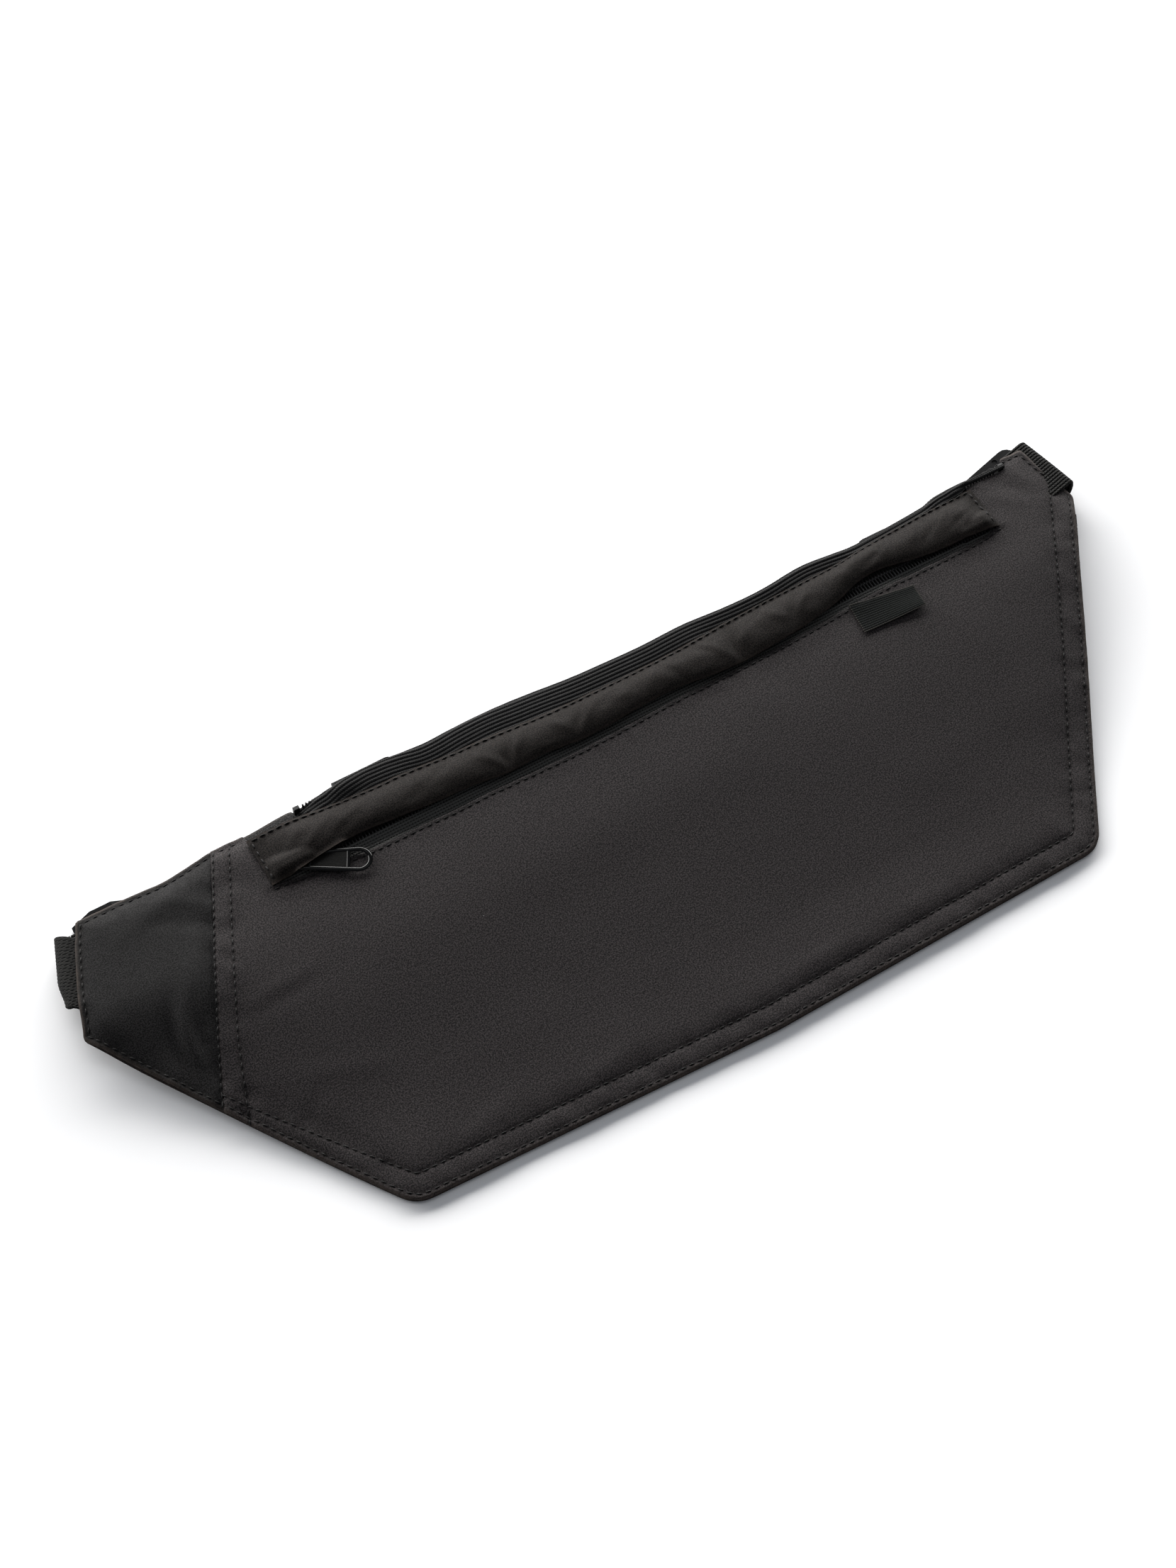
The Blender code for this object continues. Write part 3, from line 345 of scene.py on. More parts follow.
def panel_top(p, wing=False):
    """Height of the pouch's outer cloth at (x, y) points."""
    p = np.asarray(p, float).reshape(-1, 2)
    z = drape(p) + PANEL_TOP
    to_border, to_top = distance(p, BORDER), distance(p, TOP_LINE)
    to_seam = (p - SEAM_TOP) @ ACROSS_SEAM
    band = BAND(to_border)
    if wing:
        share = smoothstep(1 + to_seam / 24)
        band = share * band + (1 - share) * RIM(to_border)
    z += band
    beside_zip = smoothstep((p[:, 0] - TOP_ZIP_LEFT + 6) / 6) * smoothstep((TOP_ZIP_RIGHT + 6 - p[:, 0]) / 6)
    z += RIM(to_top) * (1 - 0.8 * beside_zip)
    from_webbing = np.minimum(np.hypot(*(p - STRAP_FOLD_AT).T), np.hypot(*(p - TAB_FOLD_AT).T))
    free = smoothstep((from_webbing - 15) / 8) * (1 - beside_zip)
    z -= 0.8 * free * np.exp(-(to_top / 4) ** 2)
    for line in GROOVES:
        away = distance(p, line)
        z -= 0.2 * np.exp(-(away / 0.6) ** 2)
        z += 0.20 * np.exp(-(away / 4.5) ** 2) * ripple(p[:, 0] * 1.3 + 31, p[:, 1], 5.0)
    z += 0.28 * ripple(p[:, 0], p[:, 1], 46) + 0.14 * ripple(p[:, 0], p[:, 1] + 90, 17)
    if wing:
        z += creases(p, WING_CREASES) - 0.35 * np.exp(-(to_seam / 2.2) ** 2)
    else:
        z += 0.65 * creases(p, FRONT_CREASES) + 0.18 * smoothstep(1 - (to_seam - 6.5) / 2)
        to_slot = p[:, 1] - SLOT_EDGE(p[:, 0])
        beside = (p[:, 0] > -130) & (p[:, 0] < 171)
        z += np.where(beside, 0.25 * np.exp(-(to_slot / 3.0) ** 2), 0)
    return z


# ---- mesh making -----------------------------------------------------------------------------
def piece(name, points, faces, look, body, nodes=(), weave=None, edge=None, sharp=None, sewn=None):
    """An object from drawing-frame points, riding on a body and standing for some CAD nodes."""
    mesh = bpy.data.meshes.new(name)
    mesh.from_pydata(((np.asarray(points, float) - MIDDLE) * MM).tolist(), [], [tuple(f) for f in faces])
    mesh.shade_smooth()
    if sharp is not None:
        mesh.set_sharp_from_angle(angle=math.radians(sharp))
    if weave is not None:
        mesh.attributes.new("weave", "FLOAT_VECTOR", "POINT").data.foreach_set(
            "vector", np.asarray(weave, np.float32).ravel())
    # The "sewn" attribute carries painted shade, a darkening of the colour close to stitch lines.
    for kind, values in (("edge", edge), ("sewn", sewn)):
        if values is not None:
            mesh.attributes.new(kind, "FLOAT", "POINT").data.foreach_set(
                "value", np.asarray(values, np.float32).ravel())
    obj = bpy.data.objects.new(name, mesh)
    bpy.context.scene.collection.objects.link(obj)
    mesh.materials.append(look)
    if nodes:
        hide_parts(*nodes)
    if body is not None:
        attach(obj, body)
    return obj


def filled(loop, lines, step):
    """Points and triangles that fill a closed loop, finer along its edge and along some lines."""
    ring = spaced(loop, 1.3, closed=True)
    rows = [ring]
    along = np.roll(ring, -1, 0) - np.roll(ring, 1, 0)
    along /= np.hypot(*along.T)[:, None]
    clockwise = (ring[:, 0] * np.roll(ring[:, 1], -1) - np.roll(ring[:, 0], -1) * ring[:, 1]).sum() < 0
    inward = np.stack((-along[:, 1], along[:, 0]), 1) * (-1 if clockwise else 1)
    for reach in (0.18, 0.45, 0.9, 1.6):
        rows.append(ring + inward * reach)
    for line in lines:
        for reach in (-1.5, -0.75, 0.0, 0.75, 1.5):
            rows.append(inset(spaced(line, 1.5), reach))
    low, high = ring.min(0), ring.max(0)
    xs, ys = np.arange(low[0], high[0], step), np.arange(low[1], high[1], step)
    grid = np.stack(np.meshgrid(xs, ys), -1).reshape(-1, 2)
    grid[:, 0] += step / 2 * (np.round((grid[:, 1] - low[1]) / step) % 2)
    taken = set()
    kept = [ring]
    for row, reach in [(r, 0.4) for r in rows[1:5]] + [(r, 0.55) for r in rows[5:]] + [(grid, step * 0.75)]:
        row = row[inside(row, ring)]
        if reach > 0.4:
            row = row[distance(row, ring, closed=True) > reach]
        if len(row) and reach > 0.4:
            cells = np.round(row / reach).astype(int)
            known = np.array([any((c[0] + i, c[1] + j) in taken for i in (-1, 0, 1) for j in (-1, 0, 1))
                              for c in cells]) if reach == step * 0.75 else np.zeros(len(row), bool)
            row = row[~known]
        kept.append(row)
        for c in np.round(row / (step * 0.75)).astype(int):
            taken.add((c[0], c[1]))
    points = np.vstack(kept)
    n = len(ring)
    edges = [(i, (i + 1) % n) for i in range(n)]
    made = delaunay_2d_cdt([Vector(p) for p in points], edges, [], 1, 1e-4, False)
    verts = np.array([tuple(v) for v in made[0]])
    tris = np.array([f for f in made[2]])
    middle = verts[tris].mean(1)
    tris = tris[inside(middle, ring)]
    a, b, c = (verts[tris[:, k]] for k in range(3))
    turned = (b[:, 0] - a[:, 0]) * (c[:, 1] - a[:, 1]) - (b[:, 1] - a[:, 1]) * (c[:, 0] - a[:, 0]) < 0
    tris[turned] = tris[turned][:, ::-1]
    return verts, tris


def edge_loop(tris):
    """The directed edges of triangles that have no neighbour."""
    pairs = {}
    for t in tris:
        for a, b in ((t[0], t[1]), (t[1], t[2]), (t[2], t[0])):
            pairs[(a, b)] = True
    return [(a, b) for a, b in pairs if (b, a) not in pairs]


def cloth_piece(name, loop, lines, top, thick, look, nodes, step=2.0):
    """A cut sheet with thickness whose edge rolls over. top gives its height at (x, y)."""
    roll = 0.55
    flat, tris = filled(loop, lines, step)
    to_edge = distance(flat, loop, closed=True)
    height = top(flat)
    drop = np.clip(1 - to_edge / roll, 0, 1)
    fall = roll * (1 - np.sqrt(np.clip(1 - drop * drop, 0, 1)))
    upper = np.column_stack((flat, height - np.minimum(fall, thick * 0.55)))
    lower = np.column_stack((flat, height - thick + np.minimum(fall, thick * 0.3)))
    upper, lower = warped(upper), warped(lower)
    count = len(flat)
    faces = [tuple(t) for t in tris] + [tuple(t[::-1] + count) for t in tris]
    faces += [(b, a, a + count, b + count) for a, b in edge_loop(tris)]
    weave = np.column_stack((np.vstack((flat, flat)), np.zeros(2 * count)))
    to_hem = np.minimum(distance(flat, BORDER), distance(flat, TOP_LINE))
    worn = np.exp(-(np.maximum(to_hem, to_edge) / 0.9) ** 2)
    # sewn is painted shade: the colour is darkened close to each stitch line, where its groove would be in
    # shade.
    sewn = np.zeros(count)
    for line in lines:
        sewn = np.maximum(sewn, np.exp(-(distance(flat, line) / 0.75) ** 2))
    return piece(name, np.vstack((upper, lower)), faces, look, "pouch", nodes, weave, np.tile(worn, 2),
                 sharp=60, sewn=np.tile(sewn, 2))


def grid_faces(rows, columns, closed=False):
    """Quads between rows of points; closed joins each row's last point to its first."""
    out = []
    last = columns if closed else columns - 1
    for i in range(rows - 1):
        for j in range(last):
            k = (j + 1) % columns
            out.append((i * columns + j, i * columns + k, (i + 1) * columns + k, (i + 1) * columns + j))
    return out


def closed_sheet(top, under):
    """Vertices and faces of a sheet from two grids of points, joined all round their rims."""
    rows, columns = top.shape[:2]
    count = rows * columns
    verts = np.vstack((top.reshape(-1, 3), under.reshape(-1, 3)))
    faces = [f[::-1] for f in grid_faces(rows, columns)]
    faces += [tuple(i + count for i in f) for f in grid_faces(rows, columns)]
    rim = [j for j in range(columns)] + [i * columns + columns - 1 for i in range(1, rows)]
    rim += [(rows - 1) * columns + j for j in range(columns - 2, -1, -1)]
    rim += [i * columns for i in range(rows - 2, 0, -1)]
    faces += [(a, b, b + count, a + count) for a, b in zip(rim, rim[1:] + rim[:1])]
    return verts, faces


def swept(rings, caps=True):
    """Vertices and faces of closed rings, one after another."""
    rings = np.asarray(rings, float)
    count, size = rings.shape[:2]
    faces = grid_faces(count, size, closed=True)
    if caps:
        faces += [tuple(range(size))[::-1], tuple((count - 1) * size + k for k in range(size))]
    return rings.reshape(-1, 3), faces


def merged(parts):
    """One list of vertices and faces from several."""
    verts, faces, start = [], [], 0
    for v, f in parts:
        verts.append(v)
        faces += [tuple(i + start for i in face) for face in f]
        start += len(v)
    return np.vstack(verts), faces


# ---- materials -------------------------------------------------------------------------------
class Nodes:
    """A material's node tree, written in short."""

    def __init__(self, name, colour, roughness, **inputs):
        self.mat = bpy.data.materials.new(name)
        self.mat.use_nodes = True
        self.tree = self.mat.node_tree
        self.shader = self.tree.nodes["Principled BSDF"]
        self.shader.inputs["Base Color"].default_value = (*colour, 1)
        self.shader.inputs["Roughness"].default_value = roughness
        for key, value in inputs.items():
            self.shader.inputs[key.replace("_", " ")].default_value = value
        self.mat.diffuse_color = (*colour, 1)

    def add(self, kind, inputs=(), **settings):
        node = self.tree.nodes.new(kind)
        for key, value in settings.items():
            setattr(node, key, value)
        for key, value in dict(inputs).items():
            if isinstance(value, bpy.types.NodeSocket):
                self.tree.links.new(value, node.inputs[key])
            else:
                node.inputs[key].default_value = value
        return node

    def math(self, operation, a, b=0.0):
        return self.add("ShaderNodeMath", {0: a, 1: b}, operation=operation).outputs[0]

    def mix(self, share, a, b):
        colours = {0: share, 6: a, 7: b}
        return self.add("ShaderNodeMix", colours, data_type="RGBA").outputs[2]

    def where(self, attribute=None):
        """Coordinates in millimetres: the object's own, or those kept on the mesh."""
        if attribute:
            return self.add("ShaderNodeAttribute", attribute_name=attribute).outputs["Vector"]
        source = self.add("ShaderNodeTexCoord").outputs["Object"]
        scaled_up = self.add("ShaderNodeVectorMath", {0: source, 1: (1000, 1000, 1000)}, operation="MULTIPLY")
        return scaled_up.outputs[0]

    def noise(self, at, scale, detail=2.0, rough=0.5):
        inputs = {"Vector": at, "Scale": scale, "Detail": detail, "Roughness": rough}
        return self.add("ShaderNodeTexNoise", inputs).outputs["Fac"]

    def ranged(self, value, low, high, to_low, to_high):
        inputs = {"Value": value, "From Min": low, "From Max": high, "To Min": to_low, "To Max": to_high}
        return self.add("ShaderNodeMapRange", inputs).outputs["Result"]

    def bump(self, height, depth, over=None):
        """depth is in millimetres."""
        inputs = {"Strength": 1.0, "Distance": depth * MM, "Height": height}
        if over is not None:
            inputs["Normal"] = over
        return self.add("ShaderNodeBump", inputs).outputs["Normal"]

    def finish(self, colour=None, roughness=None, normal=None):
        for key, value in (("Base Color", colour), ("Roughness", roughness), ("Normal", normal)):
            if value is not None:
                self.tree.links.new(value, self.shader.inputs[key])
        return self.mat


def scaled(colour, factor):
    return (*(min(c * factor, 1.0) for c in colour), 1)


def woven(name, colour, roughness, thread=0.42, grain=0.42, lint=True, worn=(0.060, 0.046, 0.038), **inputs):
    """Plain-woven nylon: fine crossing threads, mottling, a little lint, browner worn edges, painted shade along
    stitches.
    """
    n = Nodes(name, colour, roughness, **inputs)
    at = n.where("weave")
    broad = n.noise(at, 0.02, 3.0)
    cloud = n.noise(at, 0.11, 3.0, 0.6)
    mottle = n.noise(at, 0.4, 3.0, 0.6)
    fine = n.noise(at, 2.0, 2.0, 0.75)
    base = n.mix(n.ranged(broad, 0.32, 0.68, 0.0, 1.0), scaled(colour, 0.84), scaled(colour, 1.18))
    base = n.mix(n.ranged(cloud, 0.35, 0.68, 0.0, 0.4), base, scaled(colour, 1.35))
    base = n.mix(n.ranged(mottle, 0.35, 0.68, 0.0, 0.25), base, scaled(colour, 1.4))
    coarse = n.noise(at, 1.2, 3.0, 0.75)
    base = n.mix(n.ranged(coarse, 0.48, 0.62, 0.0, grain * 1.3), base, scaled(colour, 2.8))
    base = n.mix(n.ranged(coarse, 0.48, 0.36, 0.0, grain * 2.0), base, scaled(colour, 0.3))
    base = n.mix(n.ranged(fine, 0.48, 0.62, 0.0, grain * 2.2), base, scaled(colour, 3.2))
    base = n.mix(n.ranged(fine, 0.5, 0.38, 0.0, grain * 2.6), base, scaled(colour, 0.2))
    edge = n.add("ShaderNodeAttribute", attribute_name="edge").outputs["Fac"]
    share = n.math("MULTIPLY", edge, n.ranged(mottle, 0.35, 0.65, 0.25, 0.7))
    base = n.mix(share, base, (*worn, 1))
    # Painted shade: the cloth is darkened towards a dark brown beside its stitch lines, where grooves and the
    # bulging panel would be in shade.
    sewn = n.add("ShaderNodeAttribute", attribute_name="sewn").outputs["Fac"]
    share = n.math("MULTIPLY", sewn, n.ranged(mottle, 0.3, 0.7, 0.3, 0.75))
    base = n.mix(share, base, (colour[0] * 0.42, colour[1] * 0.36, colour[2] * 0.33, 1))
    if lint:
        specks = n.add("ShaderNodeTexVoronoi", {"Vector": at, "Scale": 0.085})
        dot = n.ranged(specks.outputs["Distance"], 0.014, 0.007, 0.0, 1.0)
        some = n.add("ShaderNodeSeparateColor", {0: specks.outputs["Color"]}).outputs[0]
        dot = n.math("MULTIPLY", dot, n.math("GREATER_THAN", some, 0.55))
        base = n.mix(n.math("MULTIPLY", dot, 0.55), base, (0.55, 0.55, 0.56, 1))
    ways = n.add("ShaderNodeSeparateXYZ", {0: at})
    warp_threads = n.math("SINE", n.math("MULTIPLY", ways.outputs[0], 2 * math.pi / thread))
    weft_threads = n.math("SINE", n.math("MULTIPLY", ways.outputs[1], 2 * math.pi / thread))
    weave = n.math("MULTIPLY", warp_threads, weft_threads)
    normal = n.bump(mottle, 0.03)
    normal = n.bump(fine, 0.035, over=normal)
    normal = n.bump(weave, 0.012, over=normal)
    rough = n.ranged(mottle, 0.3, 0.7, roughness - 0.05, roughness + 0.06)
    return n.finish(base, rough, normal)


def ribbed(name, colour, roughness, rib, twill, lean=1.4, depth=0.10, valley=0.35, **inputs):
    """Narrow-woven tape: ribs along its length, each crossed by chevron threads. The kept
    coordinates run across the tape and along it."""
    n = Nodes(name, colour, roughness, **inputs)
    at = n.where("weave")
    ways = n.add("ShaderNodeSeparateXYZ", {0: at})
    place = n.math("FRACT", n.math("DIVIDE", n.math("ADD", ways.outputs[0], 400 * rib), rib))
    off = n.math("ABSOLUTE", n.math("SUBTRACT", place, 0.5))
    phase = n.math("ADD", n.math("DIVIDE", ways.outputs[1], twill), n.math("MULTIPLY", off, lean))
    threads = n.ranged(n.math("SINE", n.math("MULTIPLY", phase, 2 * math.pi)), -1, 1, 0.0, 1.0)
    crown = n.ranged(off, 0.5, 0.15, 0.0, 1.0)
    fuzz = n.noise(at, 2.2, 3.0, 0.7)
    height = n.math("ADD", n.math("MULTIPLY", threads, 0.55), n.math("MULTIPLY", crown, 0.75))
    # Painted shade and highlight: the colour is darker in the valleys between ribs and threads and lighter on
    # their crowns.
    base = n.mix(n.ranged(height, 0.15, 1.0, 0.0, 1.0), scaled(colour, valley), scaled(colour, 1.45))
    base = n.mix(n.ranged(fuzz, 0.35, 0.7, 0.0, 0.3), base, scaled(colour, 2.4))
    edge = n.add("ShaderNodeAttribute", attribute_name="edge").outputs["Fac"]
    base = n.mix(n.math("MULTIPLY", edge, 0.5), base, (0.07, 0.062, 0.056, 1))
    normal = n.bump(height, depth)
    normal = n.bump(fuzz, 0.03, over=normal)
    return n.finish(base, n.ranged(fuzz, 0.3, 0.7, roughness - 0.06, roughness + 0.06), normal)


def moulded(name, colour, roughness, grain=0.02, scale=3.0, spread=0.12, **inputs):
    """Moulded plastic or enamel: fine texture, faint clouding and handling marks."""
    n = Nodes(name, colour, roughness, **inputs)
    at = n.where()
    cloud, fine, scuff = n.noise(at, 0.09, 3.0), n.noise(at, scale, 3.0, 0.6), n.noise(at, 0.8, 5.0, 0.75)
    base = n.mix(n.ranged(cloud, 0.3, 0.7, 0.0, 1.0), scaled(colour, 1 - spread), scaled(colour, 1 + spread))
    base = n.mix(n.ranged(scuff, 0.6, 0.75, 0.0, 0.3), base, scaled(colour, 1.7))
    rough = n.ranged(scuff, 0.35, 0.75, roughness - 0.04, roughness + 0.10)
    return n.finish(base, rough, n.bump(fine, grain))


LOOKS = {
    "shell": woven("shell_nylon", (0.0138, 0.0117, 0.0120), 0.78, grain=0.5, Specular_IOR_Level=0.15),
    "wing": woven("wing_nylon", (0.0064, 0.0060, 0.0061), 0.78, grain=0.55, Specular_IOR_Level=0.13),
    "flap": woven("flap_satin", (0.0072, 0.0060, 0.0054), 0.7, grain=0.36, lint=False,
                  Specular_IOR_Level=0.06),
    "backing": woven("backing_nylon", (0.0105, 0.0098, 0.0098), 0.78, thread=0.6, Specular_IOR_Level=0.12),
    "lining": woven("lining_cloth", (0.02, 0.0195, 0.0195), 0.78, thread=0.5, lint=False,
                    Specular_IOR_Level=0.12),
    "webbing": ribbed("ribbed_webbing", (0.0064, 0.0061, 0.0057), 0.8, RIB, 1.5, depth=0.55, valley=0.04,
                      Specular_IOR_Level=0.12),
    "top_tape": ribbed("ribbed_tape", (0.0125, 0.0122, 0.0122), 0.8, 1.38, 0.8, depth=0.25, valley=0.15,
                       Specular_IOR_Level=0.12),
    # Painted light: the front zip's tape is given a much lighter colour than the other black cloth, to stand in
    # for light that the flap's shadow takes away.
    "tape": ribbed("zip_tape_twill_painted_light", (0.062, 0.061, 0.058), 0.8, 1.15, 1.1, lean=1.0, depth=0.5, valley=0.04,
                   Specular_IOR_Level=0.15),
    "coil": moulded("nylon_coil", (0.020, 0.0195, 0.019), 0.36, grain=0.01),
    "thread": moulded("sewing_thread", (0.004, 0.0037, 0.0036), 0.7, grain=0.05, scale=5.0,
                      Specular_IOR_Level=0.25),
    "label": ribbed("woven_label_twill", (0.0028, 0.0035, 0.0032), 0.8, 0.8, 0.9, lean=1.0, depth=0.15,
                    valley=0.2, Specular_IOR_Level=0.06),
    "plastic": moulded("buckle_acetal", (0.0040, 0.0040, 0.0045), 0.6, grain=0.03, scale=4.0,
                       Specular_IOR_Level=0.06),
    "stop": moulded("zip_stop_nylon", (0.018, 0.018, 0.018), 0.42),
    "slider": moulded("slider_enamel", (0.012, 0.012, 0.012), 0.32, grain=0.008),
    "rim": moulded("pull_gloss", (0.002, 0.002, 0.002), 0.12, grain=0.004, Specular_IOR_Level=0.2),
    "web": moulded("pull_web", (0.003, 0.003, 0.0029), 0.7, grain=0.12, scale=2.2, Specular_IOR_Level=0.06),
}

# ---- camera and light ------------------------------------------------------------------------
TARGET = Vector((-0.01267, 0.03456, 0.0))
OFFSET = Vector((-0.2556, -0.4340, 0.8060))
KEY_TURN = math.degrees(math.atan2(-OFFSET.y, -OFFSET.x))       # the light comes from beyond the belt
camera = bpy.data.objects.new("camera", bpy.data.cameras.new("camera"))
camera.location = TARGET + OFFSET
camera.rotation_mode = "QUATERNION"
camera.rotation_quaternion = (-OFFSET).to_track_quat("-Z", "Y")
camera.data.lens = 63.47
camera.data.clip_end = 20.0
bpy.context.scene.collection.objects.link(camera)
bpy.context.scene.camera = camera


def lamp(name, turn, away, low, high, wide, power, colour):
    """A soft panel that stands at a turn about +Z and a distance, and faces the belt."""
    data = bpy.data.lights.new(name, "AREA")
    data.shape = "RECTANGLE"
    data.size, data.size_y = wide, high - low
    data.energy = power
    data.color = colour
    obj = bpy.data.objects.new(name, data)
    at = Matrix.Rotation(math.radians(turn), 3, "Z") @ Vector((away, 0, (low + high) / 2))
    obj.location = at
    obj.rotation_mode = "QUATERNION"
    obj.rotation_quaternion = (-at).to_track_quat("-Z", "Y")
    bpy.context.scene.collection.objects.link(obj)


def stage():
    """A pale floor under soft studio light."""
    half = 6.0
    mesh = bpy.data.meshes.new("floor")
    corners = [(x, y, -0.0002) for x, y in ((-half, -half), (half, -half), (half, half), (-half, half))]
    mesh.from_pydata(corners, [], [(0, 1, 2, 3)])
    floor = bpy.data.objects.new("floor", mesh)
    bpy.context.scene.collection.objects.link(floor)
    mesh.materials.append(Nodes("floor_paper", (0.93, 0.93, 0.94), 0.9, Specular_IOR_Level=0.1).mat)
    world = bpy.data.worlds.new("studio")
    world.use_nodes = True
    background = world.node_tree.nodes["Background"]
    background.inputs["Color"].default_value = (0.88, 0.93, 1.0, 1)
    background.inputs["Strength"].default_value = 0.20
    bpy.context.scene.world = world
    lamp("key", KEY_TURN + 20.0, 5.0, 0.3, 2.9, 18.0, 2080.0, (1.0, 0.99, 0.97))
    lamp("overhead", KEY_TURN, 0.6, 2.6, 3.4, 3.0, 9.0, (0.97, 0.98, 1.0))
    bpy.context.scene.view_settings.view_transform = "Standard"


# ---- cloth of the pouch ----------------------------------------------------------------------
def panels():
    front = clipped(SPREAD_OUTLINE, SEAM_TOP, ACROSS_SEAM)
    slot_x = np.linspace(-124.0, 166.0, 120)
    slot = np.vstack((np.column_stack((slot_x, SLOT_EDGE(slot_x))), [(166.0, 58.0), (-124.0, 58.0)]))
    # The slot joins the recess for the top zip, so the cloth above it is a separate strip under the flap.
    keep = front[~((front[:, 0] > -124.0) & (front[:, 0] < 166.0) & (front[:, 1] > 60))]
    start = np.argmax(np.hypot(*(np.roll(keep, -1, 0) - keep).T))
    keep = np.roll(keep, -(start + 1), 0)
    order = slot[:120] if keep[-1][0] < 0 else slot[:120][::-1]
    loop = np.vstack((keep, order))
    lines = (OUTER_STITCH, INNER_STITCH, SEAM_STITCH, SECOND_STITCH, SLOT_STITCH, TOP_RIGHT_STITCH)
    panel = cloth_piece("front_panel_cloth", loop, lines, panel_top, PANEL_THICK, LOOKS["shell"],
                        ("front_panel",))

    wing_loop = clipped(SPREAD_OUTLINE, SEAM_TOP + ACROSS_SEAM * 0.35, -ACROSS_SEAM)
    wing = cloth_piece("wing_panel_cloth", wing_loop, (OUTER_STITCH, END_STITCH),
                       lambda p: panel_top(p, wing=True), PANEL_THICK, LOOKS["wing"],
                       ("wing_panel",), step=1.7)

    def back_height(p):
        near = np.minimum(distance(p, TOP_LINE), distance(p, BORDER))
        lift = 0.25 * np.exp(-(near / 3) ** 2)
        return drape(p) + 0.62 + lift + 0.08 * (1 + ripple(p[:, 0], p[:, 1], 30))

    back = cloth_piece("back_panel_cloth", SPREAD_OUTLINE, (), back_height, 0.5, LOOKS["backing"],
                       ("back_panel",), step=3.2)

    inner = clipped(SPREAD_OUTLINE, SEAM_TOP + ACROSS_SEAM * 3.0, ACROSS_SEAM)
    inner = clipped(inner, np.array((183.0, 0.0)), np.array((-1.0, 0.0)))
    corners = np.array(BORDER_CORNERS)
    for a, b in zip(corners, corners[1:]):
        along = (b - a) / np.hypot(*(b - a))
        normal = np.array((-along[1], along[0]))
        inner = clipped(inner, a + normal * 10.5, normal)
    divider = cloth_piece("pocket_divider_cloth", inner, (), lambda p: drape(p) + 1.28, 0.25,
                          LOOKS["lining"], ("pocket_divider",), step=4.0)


def facing():
    """The hemmed band inside the border, seen only from the side."""
    line = spaced(BORDER, 2.0)
    side = (line - SEAM_TOP) @ ACROSS_SEAM
    line = line[(side > 3.0) & (line[:, 1] < 40)]
    across = np.linspace(0.9, 9.2, 8)
    flat = np.stack([inset(line, reach) for reach in across], 1)
    count, width = flat.shape[:2]
    z = drape(flat)
    low = np.dstack((flat, z + 1.05))
    high = np.dstack((flat, z + 1.55 + 0.05 * ripple(flat[..., 0], flat[..., 1], 6)))
    rings = np.concatenate((low, high[:, ::-1]), 1)
    verts, faces = swept(rings)
    weave = np.tile(np.concatenate((across, across[::-1])), count)
    weave = np.column_stack((weave, np.repeat(np.arange(count) * 2.0, 2 * width), np.zeros(len(weave))))
    obj = piece("border_facing_cloth", verts, faces, LOOKS["shell"], "pouch", ("border_facing",),
                weave, np.zeros(len(weave)), sharp=50)


# ---- flap ------------------------------------------------------------------------------------
# Pinches of the flap's free edge: x, depth, half width.
PINCHES = ((-36.0, 0.55, 9.0), (-8.0, 0.5, 8.0), (56.0, 0.75, 9.0), (82.0, 0.45, 8.0), (22.0, 0.25, 9.0),
           (-64.0, 0.25, 10.0), (136.0, 0.3, 9.0))
# Creases of the flap: x, share of its width from the seam, direction, half length, half width, height.
FLAP_CREASES = (
    (-33.0, 0.62, 62, 6.5, 1.5, -0.75), (-29.0, 0.5, 48, 6.5, 1.7, 0.65), (-41.0, 0.55, 128, 6.0, 1.7, 0.6),
    (-36.0, 0.72, 92, 3.6, 1.2, -0.6), (-7.0, 0.62, 55, 6.0, 1.5, -0.6), (-2.0, 0.55, 42, 6.5, 1.7, 0.55),
    (-13.0, 0.5, 122, 6.0, 1.7, 0.5), (56.5, 0.62, 84, 6.5, 1.6, -0.95), (61.5, 0.5, 52, 7.0, 1.8, 0.7),
    (50.0, 0.52, 122, 6.5, 1.8, 0.65), (66.0, 0.3, 25, 7.0, 1.6, -0.4), (44.0, 0.35, 150, 7.0, 1.8, -0.35),
    (82.0, 0.6, 58, 6.0, 1.5, -0.6), (88.0, 0.45, 40, 7.5, 1.7, 0.6), (75.0, 0.45, 130, 6.0, 1.8, 0.45),
    (-92.0, 0.62, 25, 11.0, 1.8, -0.5), (-88.0, 0.42, 22, 11.0, 2.0, 0.4), (-106.0, 0.6, 35, 8.0, 1.5, 0.45),
    (-118.0, 0.55, 60, 6.0, 1.4, -0.4), (-112.0, 0.4, 40, 7.0, 1.8, 0.35), (-62.0, 0.5, 20, 10.0, 2.0, -0.35),
    (8.0, 0.42, 12, 12.0, 1.8, -0.3), (24.0, 0.5, 60, 6.0, 1.7, 0.4), (31.0, 0.5, 120, 5.0, 1.5, -0.35),
    (110.0, 0.4, 35, 9.0, 2.0, 0.5), (118.0, 0.62, 22, 9.0, 1.6, -0.5), (129.0, 0.4, 50, 7.0, 1.6, -0.45),
    (137.0, 0.42, 46, 7.0, 1.7, 0.5), (145.0, 0.5, 30, 8.0, 1.4, -0.5), (150.0, 0.38, 32, 8.0, 1.5, 0.45),
    (157.0, 0.55, 20, 8.0, 1.2, -0.5), (161.0, 0.4, 60, 5.0, 1.2, 0.4), (163.0, 0.7, 12, 6.0, 1.0, 0.3))
